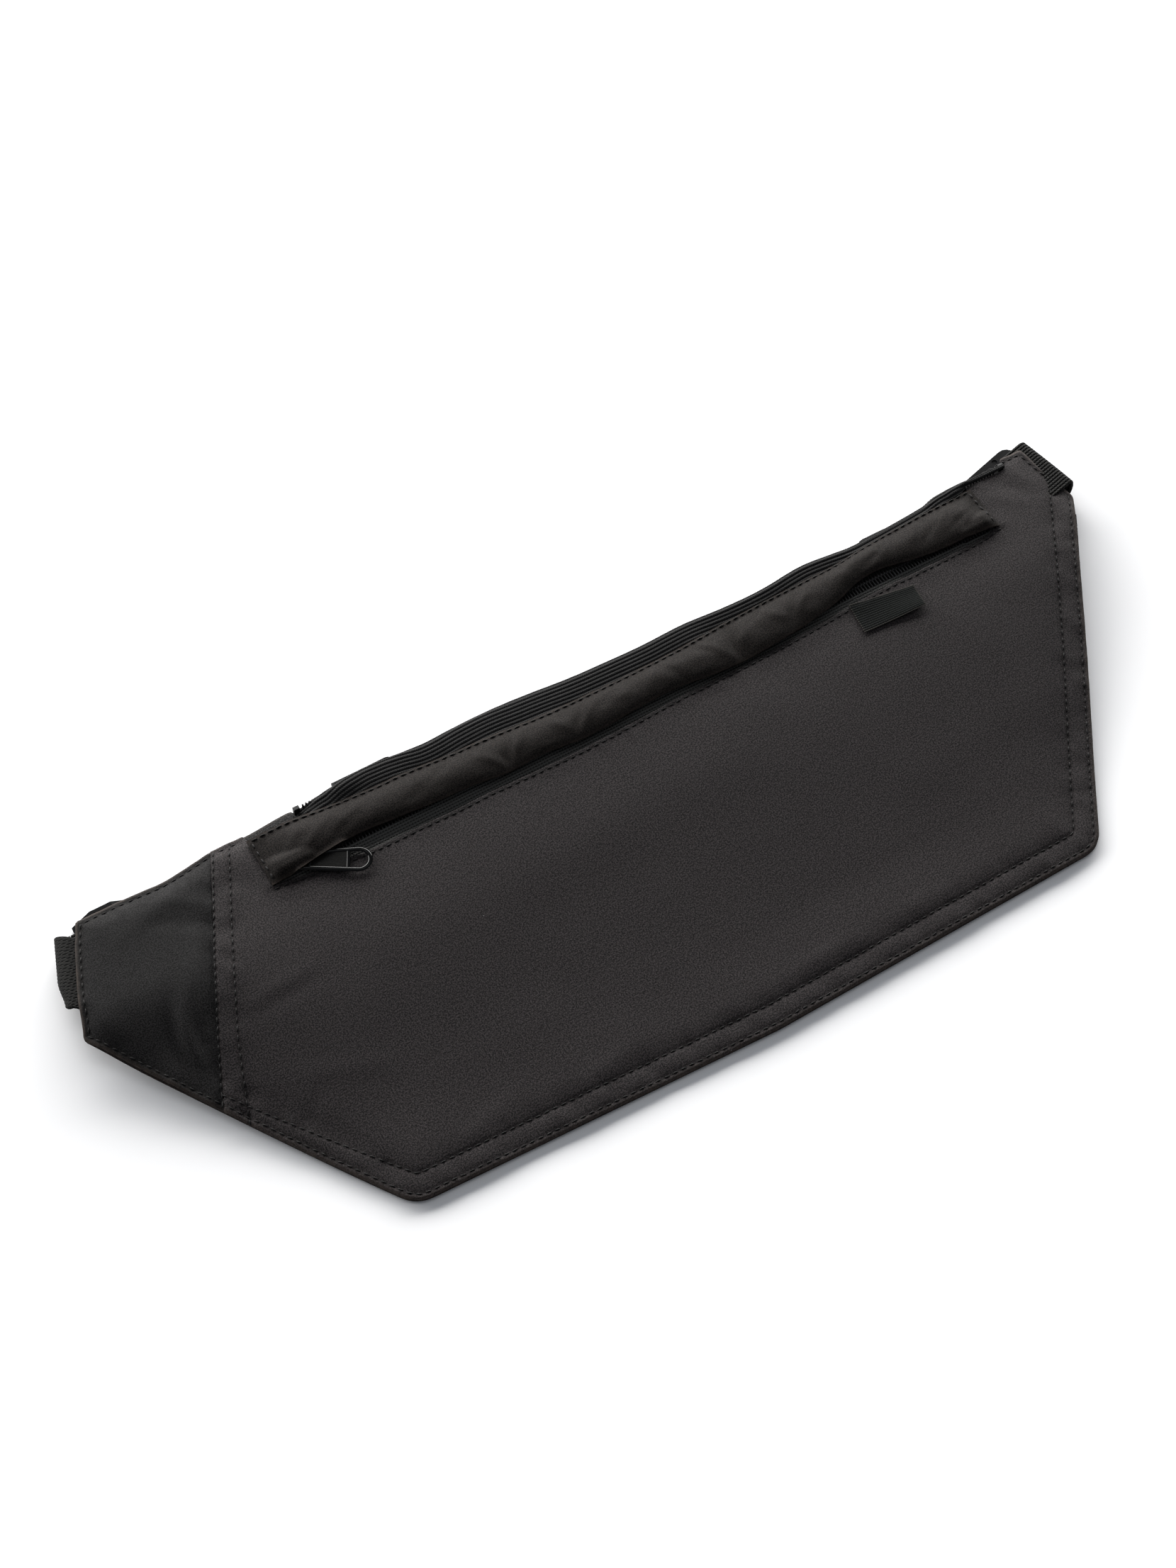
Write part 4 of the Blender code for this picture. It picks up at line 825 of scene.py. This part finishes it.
FLAP_PROFILE = curve(((0, 0.0), (0.035, 0.5), (0.07, 0.42), (0.11, 0.62), (0.25, 1.9), (0.42, 2.9),
                      (0.6, 3.2), (0.75, 3.0), (0.88, 2.5), (0.96, 1.9), (1.0, 1.5)))
FLAP_LOW = curve(((0, 0.0), (0.035, 0.5), (0.07, 0.42), (0.11, 0.6), (0.3, 1.35), (0.5, 1.7), (0.7, 1.5),
                  (0.86, 1.05), (0.96, 0.65), (1.0, 0.35)))
FLAP_ENDS = (-126.0, 167.0)
FLAP_THICK = 0.5


def flap_surface(x, s):
    """Points of the flap's upper face at a place along the belt and a share of its width."""
    seam, edge = FLAP_SEAM(x), FLAP_EDGE(x)
    seam = seam + TOP_WAVE(x) * 0.2
    y = seam + (edge - seam) * s
    rise = np.minimum(smoothstep((x - FLAP_ENDS[0]) / 20.0), smoothstep((FLAP_ENDS[1] - x) / 11.0))
    at_slider = np.maximum(smoothstep((-98 - x) / 10), smoothstep((x - 142) / 10))
    fullness = 0.78 + 0.22 * at_slider + 0.1 * ripple(x, 0 * x + 40, 15) * (1 - at_slider)
    for where, depth, width in PINCHES:
        fullness = fullness - depth * 0.45 * np.exp(-((x - where) / width) ** 2) * (1 - at_slider)
    z = FLAP_PROFILE(s) * fullness * rise + FLAP_LOW(s) * (1 - fullness) * rise
    z = z + 0.35 * (1 - rise) * np.minimum(s * 20, 1)
    fold = np.zeros_like(z)
    for where, share, turn, length, width, height in FLAP_CREASES:
        c, r = math.cos(math.radians(turn)), math.sin(math.radians(turn))
        py = FLAP_SEAM(where) + (FLAP_EDGE(where) - FLAP_SEAM(where)) * share
        u = (x - where) * c + (y - py) * r
        v = -(x - where) * r + (y - py) * c
        fold += 0.66 * height * np.exp(-(u / length) ** 2 - (v / width) ** 2)
    fold += 0.14 * ripple(x * 0.5 + y * 0.5, y * 0.5 - x * 0.2, 4.0) + 0.06 * ripple(x + 7, y, 2.6)
    z = z + fold * smoothstep((s - 0.04) / 0.2) * (0.3 + 0.7 * rise)
    seam_pucker = 0.12 * ripple(x * 1.0, 0 * x, 3.4) * np.exp(-(s / 0.16) ** 2)
    return np.stack((x, y, 12.72 + z + seam_pucker), -1)


def clear_of_sliders(top, thick):
    """Keeps the flap above the slider's bail and pull where the slider comes to rest."""
    x, y = top[..., 0], top[..., 1]
    near = np.zeros_like(x)
    for low, high in SLIDER_STOPS:
        near = np.maximum(near, smoothstep((x - low) / 6.0) * smoothstep((high - x) / 6.0))
    across = np.exp(-np.clip(np.abs(y - FRONT_ZIP_Y) - 1.0, 0, None) ** 2 / 11.0)
    least = 12.9 + (15.1 + thick - 12.9) * near * across
    over_pull = smoothstep((x + 121) / 5) * smoothstep((-94 - x) / 5) * smoothstep((55 - y) / 4)
    least = np.maximum(least, 12.9 + (14.25 + thick - 12.9) * over_pull)
    top[..., 2] = np.maximum(top[..., 2], least)
    return top


def flap():
    xs = np.linspace(FLAP_ENDS[0], FLAP_ENDS[1], 330)
    shares = np.concatenate(([0, 0.012], np.linspace(0.035, 0.97, 25), [0.99, 1.0]))
    x, s = np.meshgrid(xs, shares)
    top = clear_of_sliders(flap_surface(x, s), FLAP_THICK)
    thick = FLAP_THICK * (0.55 + 0.45 * np.sqrt(np.clip(1 - np.abs(2 * s - 1) ** 12, 0, 1)))
    hem = 0.35 * smoothstep((s - 0.74) / 0.03) * smoothstep((1.02 - s) / 0.05)
    under = top.copy()
    under[..., 2] -= thick + hem * 0.4
    verts, faces = closed_sheet(top, under)
    weave = np.column_stack((np.tile(x.ravel(), 2), np.tile(top[..., 1].ravel(), 2), np.zeros(len(verts))))
    worn = np.exp(-(np.minimum(s, 1 - s) / 0.04) ** 2) * 0.5
    obj = piece("flap_satin_cloth", verts, faces, LOOKS["flap"], "pouch", ("zip_flap",), weave,
                np.tile(worn.ravel(), 2), sharp=70)
    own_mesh(obj)


# ---- sewing ----------------------------------------------------------------------------------
def stitches(name, runs):
    """Runs of thread. Each run is a function of (x, y) giving height, and a line to follow."""
    parts = []
    for height, line in runs:
        reach = np.concatenate(([0], np.cumsum(np.hypot(*np.diff(line, axis=0).T))))
        count = max(int(reach[-1] / STITCH_PITCH), 1)
        for k in range(count):
            start = (k + 0.5 - STITCH_LENGTH / STITCH_PITCH / 2) * reach[-1] / count
            shares = np.linspace(0, 1, 5)
            at = start + STITCH_LENGTH * shares
            wander = 0.12 * RNG.uniform(-1, 1)
            flat = np.stack([np.interp(at, reach, line[:, i]) for i in (0, 1)], 1)
            along = flat[-1] - flat[0]
            along = along / max(np.hypot(*along), 1e-9)
            side = np.array((-along[1], along[0]))
            flat = flat + side * wander * (shares[:, None] - 0.5) * 2
            z = height(flat) + 0.05 + 0.24 * np.sin(np.pi * shares) - 0.10
            middle = np.column_stack((flat, z))
            radius = THREAD_R * np.array((0.45, 0.95, 1.05, 0.95, 0.45))
            turn = np.arange(6) * math.pi / 3
            across = np.array((*side, 0.0))
            up = np.array((0.0, 0.0, 1.0))
            rings = [m + r * (np.cos(turn)[:, None] * across + np.sin(turn)[:, None] * up)
                     for m, r in zip(middle, radius)]
            parts.append(swept(rings))
    verts, faces = merged(parts)
    return piece(name, verts, faces, LOOKS["thread"], "pouch")


def warped_line(line):
    line = spaced(line, 1.0)
    return warped(line)


def panel_height(wing=False):
    """Height over a line that was already let wander with the cloth."""
    def at(flat):
        return panel_top(flat - drift(flat), wing)
    return at


def sewing():
    on_front, on_wing = panel_height(), panel_height(wing=True)
    outer = warped_line(OUTER_STITCH)
    side = (outer - SEAM_TOP) @ ACROSS_SEAM
    runs = [(on_front, outer[side > 0.6])]
    runs += [(on_front, warped_line(line)) for line in
             (INNER_STITCH, SEAM_STITCH, SECOND_STITCH, SLOT_STITCH, TOP_LEFT_STITCH, TOP_RIGHT_STITCH)]
    stitches("stitches_front", runs)
    stitches("stitches_wing", [(on_wing, outer[side < -0.8]), (on_wing, warped_line(END_STITCH))])

    def on_flap(line):
        x, s = line
        points = clear_of_sliders(flap_surface(x, s), FLAP_THICK)
        flat = points[:, :2]

        def at(q):
            nearest = np.array([np.argmin(np.hypot(*(flat - p).T)) for p in q])
            return points[nearest, 2]
        return at, flat

    xs = np.linspace(-124.8, 165.8, 900)
    share = 0.95 / np.abs(FLAP_EDGE(xs) - FLAP_SEAM(xs))
    runs = [on_flap((xs, share))]
    for x in (-124.7, 165.6):
        s = np.linspace(0.08, 0.94, 60)
        runs.append(on_flap((np.full(60, x), s)))
    sewn = stitches("stitches_flap", runs)
    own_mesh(sewn)


# ---- zips ------------------------------------------------------------------------------------
def ribbed_band(name, paths, look, body, nodes, thick, rib, weave_start=0.0, relief=0.0):
    """A tape whose section at each x is a path of (y, z) points: paths is [x][k] of 3-D points."""
    paths = np.asarray(paths, float)
    count, wide = paths.shape[:2]
    step = np.diff(paths, axis=1)
    reach = np.concatenate((np.zeros((count, 1)), np.cumsum(np.linalg.norm(step, axis=2), 1)), 1)
    tangent = np.gradient(paths, axis=1)
    tangent[..., 0] = 0
    tangent /= np.linalg.norm(tangent, axis=2)[..., None]
    normal = np.stack((np.zeros_like(reach), -tangent[..., 2], tangent[..., 1]), -1)
    across = reach - reach[:, -1:] + weave_start
    lumps = relief * np.abs(np.sin(np.pi * across / rib))
    upper = paths + normal * (thick / 2 + lumps)[..., None]
    lower = paths - normal * (thick / 2)
    rings = np.concatenate((upper, lower[:, ::-1]), 1)
    verts, faces = swept(rings)
    along = paths[:, :, 0]
    weave = np.stack((np.concatenate((across, across[:, ::-1]), 1), np.concatenate((along, along), 1),
                      np.zeros((count, 2 * wide))), -1).reshape(-1, 3)
    faces = [f[::-1] for f in faces]
    return piece(name, verts, faces, LOOKS[look], body, nodes, weave, np.zeros(len(weave)), sharp=60)


def coil(name, nodes, length, centre, outward, up, path, clear):
    """Half of a nylon coil: one tooth after another along X. outward points to its own tape."""
    x0, x1 = length
    parts = []
    pitch = 1.24
    shift = 0.31 if outward[1] + outward[2] > 0 else -0.31
    outward, up = np.array(outward, float), np.array(up, float)
    turn = np.arange(8) * math.pi / 4
    for x in np.arange(x0 + 0.8, x1 - 0.8, pitch) + shift:
        start = -0.42 if all(not low < x < high for low, high in clear) else 0.62
        reach = np.array((start, start + 0.3, start + 0.75, 1.6, 2.6, 3.0)) if start < 0 else np.array(
            (start, start + 0.2, start + 0.5, 1.7, 2.6, 3.0))
        reach = reach * (COIL_REACH[name] / 3.0)
        half_x = np.array((0.30, 0.46, 0.36, 0.31, 0.34, 0.28))
        half_z = np.array((0.34, 0.52, 0.55, 0.57, 0.55, 0.4))
        middle = np.array((x, path(x), centre))
        rings = []
        for r, hx, hz in zip(reach, half_x, half_z):
            at = middle + outward * r
            rings.append(at + hx * np.cos(turn)[:, None] * np.array((1.0, 0, 0))
                         + hz * np.sin(turn)[:, None] * up)
        parts.append(swept(rings))
    verts, faces = merged(parts)
    return piece(name, verts, faces, LOOKS["coil"], "pouch", nodes)


COIL_REACH = {"front_coil_teeth_lower": 3.1, "front_coil_teeth_upper": 3.1, "top_coil_teeth_front": 2.1,
              "top_coil_teeth_back": 2.1}


def top_path(x):
    """Section of the ribbed tape at x: from under the flap, over the crest, down to the coil."""
    coil_y = chain_y(x)
    under_panel = smoothstep((x - 161.0) / 6.0)
    foot = FLAP_SEAM(x) + TOP_WAVE(x) * 0.2 - 1.6
    foot = foot * (1 - under_panel) + (coil_y - 1.75) * under_panel
    middle = smoothstep((x + 84) / 12) * smoothstep((118 - x) / 16)
    crest = 13.0 - 0.5 * smoothstep((-97 - x) / 8) + 0.45 * middle
    crest += 1.15 * math.exp(-((x - TOP_SLIDER_X) / 8.5) ** 2)
    crest += 0.9 * math.exp(-((x - 163.5) / 6.5) ** 2) + 0.12 * ripple(x, 3.0, 12)
    edge = TAPE_EDGE(x) - 0.35 - (crest - 0.35 - 12.3) * VIEW_LEAN
    width = edge - foot
    dive = 1.9 * smoothstep((-97.0 - x) / 9)
    crest -= dive
    knots = ((foot, 12.45 - 0.4 * dive), (foot + 0.22 * width, 12.62 - 0.7 * dive),
             (foot + 0.5 * width, 12.62 - dive + (crest + dive - 12.6) * 0.55),
             (edge - 0.32 * width, crest - 0.18), (edge - 0.14 * width, crest), (edge, crest - 0.4),
             ((edge + coil_y) / 2 + 0.05, crest - 0.8), (coil_y + 0.02, min(12.75, crest - 0.9)),
             (coil_y, min(12.3, crest - 1.2)))
    y, z = (np.array(k) for k in zip(*knots))
    reach = np.concatenate(([0], np.cumsum(np.hypot(np.diff(y), np.diff(z)) + 0.02)))
    at = np.linspace(0, reach[-1], 46)
    return np.column_stack((np.full(46, x), curve(list(zip(reach, y)))(at), curve(list(zip(reach, z)))(at)))


def back_path(x):
    """Section of the top zip's other tape: from the chain down and in behind the front."""
    y = chain_y(x)
    knots = ((y + 0.05, 7.95), (y - 0.1, 7.6), (y - 0.9, 7.5), (y - 2.0, 7.65), (y - 3.6, 7.75),
             (y - 5.6, 7.8))
    at = np.linspace(0, 1, len(knots))
    t = np.linspace(0, 1, 20)
    y, z = zip(*knots)
    return np.column_stack((np.full(20, x), curve(list(zip(at, y)))(t), curve(list(zip(at, z)))(t)))


def front_path(x, sign):
    """Section of one tape of the front zip."""
    apart = any(low < x < high for low, high in TEETH_APART)
    reach = np.linspace(3.4 if apart else 2.9, 13.4, 40)
    sag = 0.14 * ripple(x, reach, 5.0) * smoothstep((reach - 3.2) / 2)
    z = CHAIN_Z + 0.15 * np.exp(-((reach - 3.0) / 1.2) ** 2) + sag
    path = np.column_stack((np.full(40, x), FRONT_ZIP_Y + sign * reach, z))
    return path[::-1] if sign < 0 else path


def zips():
    xs = np.linspace(-106.0, 184.0, 300)
    ribbed_band("ribbed_tape_front", [top_path(x) for x in xs], "top_tape", "pouch",
                ("top_zip_tape_front",), 0.34, 1.38, relief=0.2)
    ribbed_band("ribbed_tape_back", [back_path(x) for x in xs], "top_tape", "pouch",
                ("top_zip_tape_back",), 0.3, 1.38, relief=0.08)
    for side, sign in (("front", 1), ("back", -1)):
        coil(f"top_coil_teeth_{side}", (f"top_zip_coil_{side}",), (-104, 182), TOP_CHAIN_Z, (0, 0, sign),
             (0, 1, 0), chain_y, TOP_TEETH_APART)
    xs = np.linspace(-123.5, 165.5, 300)
    for side, sign in (("lower", -1), ("upper", 1)):
        coil(f"front_coil_teeth_{side}", (f"front_zip_coil_{side}",), (-121.5, 163.5), CHAIN_Z, (0, sign, 0),
             (0, 0, 1), lambda x: FRONT_ZIP_Y, TEETH_APART)
        ribbed_band(f"front_tape_twill_{side}", [front_path(x, sign) for x in xs], "tape", "pouch",
                    (f"front_zip_tape_{side}",), 0.3, 0.95, relief=0.1)


# ---- label -----------------------------------------------------------------------------------
def label():
    corners = {"tl": (100.8, 45.6), "tr": (125.6, 41.4), "bl": (99.1, 32.8), "br": (123.9, 31.3)}
    us, vs = np.linspace(0, 1, 50), np.linspace(0, 1, 24)
    u, v = np.meshgrid(us, vs)
    flat = sum(w[..., None] * np.array(corners[k]) for w, k in
               (((1 - u) * (1 - v), "tl"), (u * (1 - v), "tr"), ((1 - u) * v, "bl"), (u * v, "br")))
    ragged = 0.16 * ripple(u * 60, v * 9, 1.4) * (np.exp(-(u / 0.02) ** 2) - np.exp(-((1 - u) / 0.02) ** 2))
    flat[..., 0] -= ragged
    ground = panel_top(flat.reshape(-1, 2)).reshape(u.shape)
    lift = 0.12 + 1.3 * smoothstep(u * 1.1 - 0.1) * smoothstep(v) ** 1.2
    lift += 0.35 * np.sin(u * 5.2 + 0.6) * v * v * (1 - u)
    lift += 0.25 * smoothstep((0.12 - u) / 0.12) * v
    bend = smoothstep(v / 0.12)
    low = np.maximum(ground, 12.42)
    z = low + 0.1 + lift * bend + 0.3
    top = np.dstack((flat, z))
    away = np.minimum(np.minimum(u, 1 - u) * 24.0, np.minimum(v, 1 - v) * 10.0)
    thick = 0.42 - 0.24 * np.exp(-(away / 0.35) ** 2)
    top[..., 2] -= 0.14 * np.exp(-(away / 0.35) ** 2)
    under = top.copy()
    under[..., 2] -= thick
    verts, faces = closed_sheet(top, under)
    weave = np.column_stack((np.tile((v * 10.7).ravel(), 2), np.tile((u * 24.4).ravel(), 2),
                             np.zeros(len(verts))))
    obj = piece("blank_woven_label", verts, faces, LOOKS["label"], "label", ("woven_label",), weave,
                np.tile(np.exp(-(away / 0.3) ** 2).ravel() * 0.7, 2), sharp=60)


# ---- webbing ---------------------------------------------------------------------------------
def sidestep(x):
    """How far the strap has moved sideways at a place along it."""
    return -SIDESTEP * smoothstep((x - SIDESTEP_X[0]) / (SIDESTEP_X[1] - SIDESTEP_X[0]))


def web_section():
    """Half the outline of the webbing's section as (across, height): ribs on both faces."""
    ribs = int(2 * WEB_HALF / RIB)
    across = np.linspace(-WEB_HALF, WEB_HALF, ribs * 4 + 1)
    valley = 1 - np.abs(np.sin(np.pi * (across + WEB_HALF) / RIB))
    rise = WEB_THICK / 2 * (1 - 0.5 * (np.abs(across) / WEB_HALF) ** 60) - 0.17 * valley ** 2
    return across, rise


def webbing(name, frames, body, nodes, tighter=None, skew=0.0):
    """A webbing strip. frames are (centre, across, up, distance, bulge direction), with across scaled
    for skew. tighter gives how far each thread across the strip is drawn in where it bulges."""
    across, rise = web_section()
    drawn = tighter(across) if tighter else 0 * across
    rings, weave = [], []
    for centre, side, up, reach, bulge in frames:
        line = centre + across[:, None] * side - drawn[:, None] * bulge
        rings.append(np.vstack((line + rise[:, None] * up, (line - rise[:, None] * up)[::-1])))
        both = np.concatenate((across, across[::-1]))
        weave.append(np.column_stack((both + WEB_HALF, reach + skew * both, 0 * both)))
    verts, faces = swept(rings)
    return piece(name, verts, [f[::-1] for f in faces], LOOKS["webbing"], body, nodes,
                 np.vstack(weave), np.zeros(len(verts)), sharp=70)


def path_frames(path, origin, turn=0.0, bulges=False):
    """Frames along an (x, z) path whose own X is turned about Z at origin."""
    path = np.asarray(path, float)
    reach = np.concatenate(([0], np.cumsum(np.hypot(*np.diff(path, axis=0).T))))
    tangent = np.gradient(path, reach, axis=0)
    tangent /= np.hypot(*tangent.T)[:, None]
    c, s = math.cos(turn), math.sin(turn)
    out = []
    for (x, z), (tx, tz), r in zip(path, tangent, reach):
        centre = np.array((origin[0] + x * c, origin[1] + x * s, z))
        bulge = np.array((c, s, 0.0)) * (abs(tz) if bulges else 0.0)
        out.append((centre, np.array((-s, c, 0.0)), np.array((-tz * c, -tz * s, tx)), r, bulge))
    return out


def bent(points):
    """A path with its corners rounded a little."""
    points = np.array(points, float)
    for _ in range(2):
        out = [points[0]]
        for a, b in zip(points, points[1:]):
            cut = min(0.25, 1.2 / max(np.hypot(*(b - a)), 1e-6))
            out += [a + (b - a) * cut, b - (b - a) * cut]
        out.append(points[-1])
        points = np.array(out)
    return points


def divided(path, longest):
    """A path with points added so that none of its steps is much longer than that."""
    out = [path[0]]
    for a, b in zip(path, path[1:]):
        count = max(int(np.hypot(*(b - a)) / longest), 1)
        out += [a + (b - a) * k / count for k in range(1, count + 1)]
    return np.array(out)


def stepped(frames):
    """Frames of the strap, moved sideways where it steps across."""
    return [(centre + np.array((0, sidestep(centre[0]), 0)), *rest) for centre, *rest in frames]


def arc(cx, cz, radius, start, end, steps):
    angles = np.radians(np.linspace(start, end, steps + 1))
    return np.column_stack((cx + radius * np.cos(angles), cz + radius * np.sin(angles)))


def strap():
    out = np.array((-math.cos(STRAP_LEAN), math.sin(STRAP_LEAN)))
    along = np.array((math.sin(STRAP_LEAN), math.cos(STRAP_LEAN)))
    skew = math.tan(STRAP_LEAN)
    turn = math.pi * STRAP_FOLD_R
    frames = []
    places = np.concatenate((np.linspace(-24, -1, 9), np.linspace(0, turn, 26), [turn + 0.1]))
    for p in places:
        angle = min(max(p / STRAP_FOLD_R, 0), math.pi)
        reach = STRAP_FOLD_R * math.sin(angle) + min(p, 0.0) - max(p - turn, 0.0)
        bulge = 0.35 * math.sin(angle) * (1 if 0 < p < turn else 0)
        q = skew * (p - turn / 2)
        flat = STRAP_FOLD_AT + out * (reach + bulge) + along * q
        centre = np.array((*flat, STRAP_FOLD_Z + STRAP_FOLD_R * math.cos(angle)))
        up = np.array((*(out * math.sin(angle)), math.cos(angle)))
        frames.append((centre, np.array((*along, 0.0)) / math.cos(STRAP_LEAN), up, p,
                       np.array((*out, 0.0)) * max(math.sin(angle), 0.0)))
    fold = webbing("strap_webbing_sewn_end", frames, None, ("strap_anchor", "strap_fold"),
                   lambda a: 1.9 * smoothstep((-a - 3) / 9.5), skew=skew)
    centre = (np.array((*STRAP_FOLD_AT, 0)) - MIDDLE) * MM
    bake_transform(fold)

    low, high = WRAP_LOW, WRAP_HIGH
    ramp = PLUG_X - 12.0
    path = [(STRAP_FOLD_AT[0] + 0.4, RUN_Z), (-120.0, RUN_Z), (0.0, RUN_Z), (ramp, RUN_Z),
            (PLUG_X - 1.5, low + 0.1)]
    path = np.vstack((bent(path), arc(PLUG_X + 1.9, WRAP_MIDDLE, (high - low) / 2, -90, 90, 14),
                      bent([(PLUG_X - 1.5, high - 0.1), (ramp, RETURN_Z), (ramp - 6.0, RETURN_Z)])))
    run = webbing("strap_webbing_run", stepped(path_frames(divided(path, 3.0), (0.0, STRAP_Y))), "strap",
                  ("strap_webbing", "strap_plug_end"))
    for v in run.data.vertices:
        x, y, z = v.co
        if z < 0.0031 and x < -0.19:
            v.co.x = x + skew * (y + (MIDDLE[1] - STRAP_FOLD_AT[1]) * MM)
    loop_end = -168.0
    back = divided(np.array(((loop_end + 0.2, RETURN_Z), (ramp - 6.2, RETURN_Z))), 3.0)
    frames = stepped(path_frames(back, (0.0, STRAP_Y)))
    ret = webbing("strap_webbing_return", frames, "strap", ("strap_return_run",))
    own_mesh(ret)

    top = BAR_TOP_Z + WEB_THICK / 2
    radius = (top - RETURN_Z) / 2
    loop = [(10.0, RETURN_Z), (4.0, RETURN_Z)]
    wrap = arc(1.8, (top + RETURN_Z) / 2, radius, -90, 90, 14)
    wrap[:, 0] *= -1
    loop = np.vstack((loop, wrap, [(4.2, top), (5.4, top - 0.02)]))
    webbing("strap_webbing_end_loop", path_frames(divided(loop, 5.0), (-178.0, STRAP_Y)), "adjuster",
            ("strap_end_loop",))


def tab():
    frames = [(-9.0 + k * 1.1, TAB_FOLD_Z + TAB_FOLD_R) for k in range(8)]
    fold = arc(0, TAB_FOLD_Z, TAB_FOLD_R, 90, -90, 24)
    path = np.vstack((frames, fold))
    obj = webbing("tab_webbing_sewn_end", path_frames(path, TAB_FOLD_AT, TAB_LEAN, bulges=True), None,
                  ("tab_anchor", "tab_fold"), lambda a: 1.1 - 0.055 * a + 0.0016 * a * a)
    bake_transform(obj)
    low, high = WRAP_LOW, WRAP_HIGH
    wrap = arc(2.9, WRAP_MIDDLE, (high - low) / 2, -90, 90, 14)
    wrap[:, 0] *= -1
    path = np.vstack(([(0.0, low)], [(-0.6, low)], wrap, [(0.0, high)]))
    webbing("tab_webbing_loop", path_frames(path, TAB_FOLD_AT, TAB_LEAN), "tab", ("tab_webbing",))


# ---- hardware --------------------------------------------------------------------------------
def tube(line, wide, tall, sides=10, closed=False):
    """A rounded bar along a flat line of (x, y) points at height 0."""
    line = np.asarray(line, float)
    if closed:
        along = np.roll(line, -1, 0) - np.roll(line, 1, 0)
    else:
        along = np.gradient(line, axis=0)
    along /= np.hypot(*along.T)[:, None]
    side = np.column_stack((-along[:, 1], along[:, 0], np.zeros(len(line))))
    turn = np.arange(sides) * 2 * math.pi / sides
    up = np.array((0, 0, 1.0))
    rings = [np.array((*p, 0)) + np.cos(turn)[:, None] * wide * s + np.sin(turn)[:, None] * tall * up
             for p, s in zip(line, side)]
    verts, faces = swept(rings, caps=not closed)
    if closed:
        last = (len(line) - 1) * sides
        faces += [(last + j, last + (j + 1) % sides, (j + 1) % sides, j) for j in range(sides)]
    return verts, faces


def slab(outline, low, high):
    """A flat plate from a convex outline of (x, y) points."""
    outline = np.asarray(outline, float)
    n = len(outline)
    verts = np.vstack([np.column_stack((outline, np.full(n, z))) for z in (low, high)])
    faces = [tuple(range(n))[::-1], tuple(range(n, 2 * n))]
    faces += [(i, (i + 1) % n, n + (i + 1) % n, n + i) for i in range(n)]
    return verts, faces


def pull(name, node, body, length, root_half, tip_half, thick, frame_matrix, rim_look="rim"):
    """A wire-like glossy rim round a recessed matt web, with a D-shaped hole at the far end."""
    tip = length - tip_half
    lean = math.degrees(math.atan2(tip_half - root_half, tip))
    wide = (0.8 if rim_look == "rim" else 0.62) * thick
    line = [(-0.5 + wide, root_half - wide * 1.4), (-0.5 + wide, 0), (-0.5 + wide, -(root_half - wide * 1.4)),
            (0.1 + wide, -root_half + wide * 0.8)]
    line = np.vstack((line, arc(tip, 0, tip_half - wide, -90 - lean, 90 + lean, 22),
                      [(0.1 + wide, root_half - wide * 0.8)]))
    rim_verts, rim_faces = tube(spaced(line, 0.6, closed=True), wide, thick / 2, closed=True)
    flat = tip - tip_half * 0.72
    bar = tube([(flat, -tip_half + 1.3), (flat, 0), (flat, tip_half - 1.3)], wide * 0.8, thick * 0.42)
    cross = tube([(4.8, -root_half + 0.5), (4.8, 0), (4.8, root_half - 0.5)], wide * 0.9, thick * 0.42)
    rim = merged(((rim_verts, rim_faces), bar, cross))
    grow = (tip_half - root_half) / tip
    half = [root_half - 0.75 + grow * x for x in (4.8, flat)]
    web = slab(((4.8, -half[0]), (flat, -half[1]), (flat, half[1]), (4.8, half[0])),
               -thick * 0.24, thick * 0.24)
    for part, look, stem in ((rim, rim_look, name), (web, "web", name + "_web")):
        verts, faces = part
        moved = np.array([tuple(frame_matrix @ Vector(v)) for v in verts])
        piece(stem, moved, faces, LOOKS[look], body, (node,) if stem == name else (), sharp=50)


def hardware():
    at = Matrix.Translation((-115.5, FRONT_ZIP_Y - 0.2, 13.6)) @ Matrix.Rotation(math.radians(-29), 4, "Z")
    pull("front_pull_rim", "front_zip_pull", "front_pull", 26.0, 3.3, 4.75, 1.0, at)
    at = Matrix.Translation((TOP_SLIDER_X + 1.1, TOP_ZIP_Y + 2.15, TOP_CHAIN_Z))
    at = at @ Matrix.Rotation(math.radians(-90), 4, "X")
    pull("top_pull_rim", "top_zip_pull", "top_pull", 18.0, 2.4, 2.6, 0.7, at, "web")
    looks = {"front_zip_slider": ("slider", 0.18), "top_zip_slider": ("slider", 0.15),
             "triglide": ("plastic", 0.35), "buckle_plug": ("plastic", 0.4),
             "buckle_socket": ("plastic", 0.4),
             "buckle_arm_upper": ("plastic", 0.25), "buckle_arm_lower": ("plastic", 0.25),
             "front_zip_stop_left": ("stop", 0.2),
             "front_zip_stop_right": ("stop", 0.2), "top_zip_stop_left": ("stop", 0.2),
             "top_zip_stop_right": ("stop", 0.2)}
    for name, (look, width) in looks.items():
        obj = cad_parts[name]
        for material_slot in obj.material_slots:
            material_slot.material = LOOKS[look]
        weld = obj.modifiers.new("weld", "WELD")
        weld.merge_threshold = 1e-6
        bevel = obj.modifiers.new("soft_edges", "BEVEL")
        bevel.width = width * MM
        bevel.segments = 3
        bevel.limit_method = "ANGLE"
        bevel.angle_limit = math.radians(38)
        bevel.harden_normals = False


stage()
panels()
facing()
flap()
sewing()
zips()
label()
strap()
tab()
hardware()
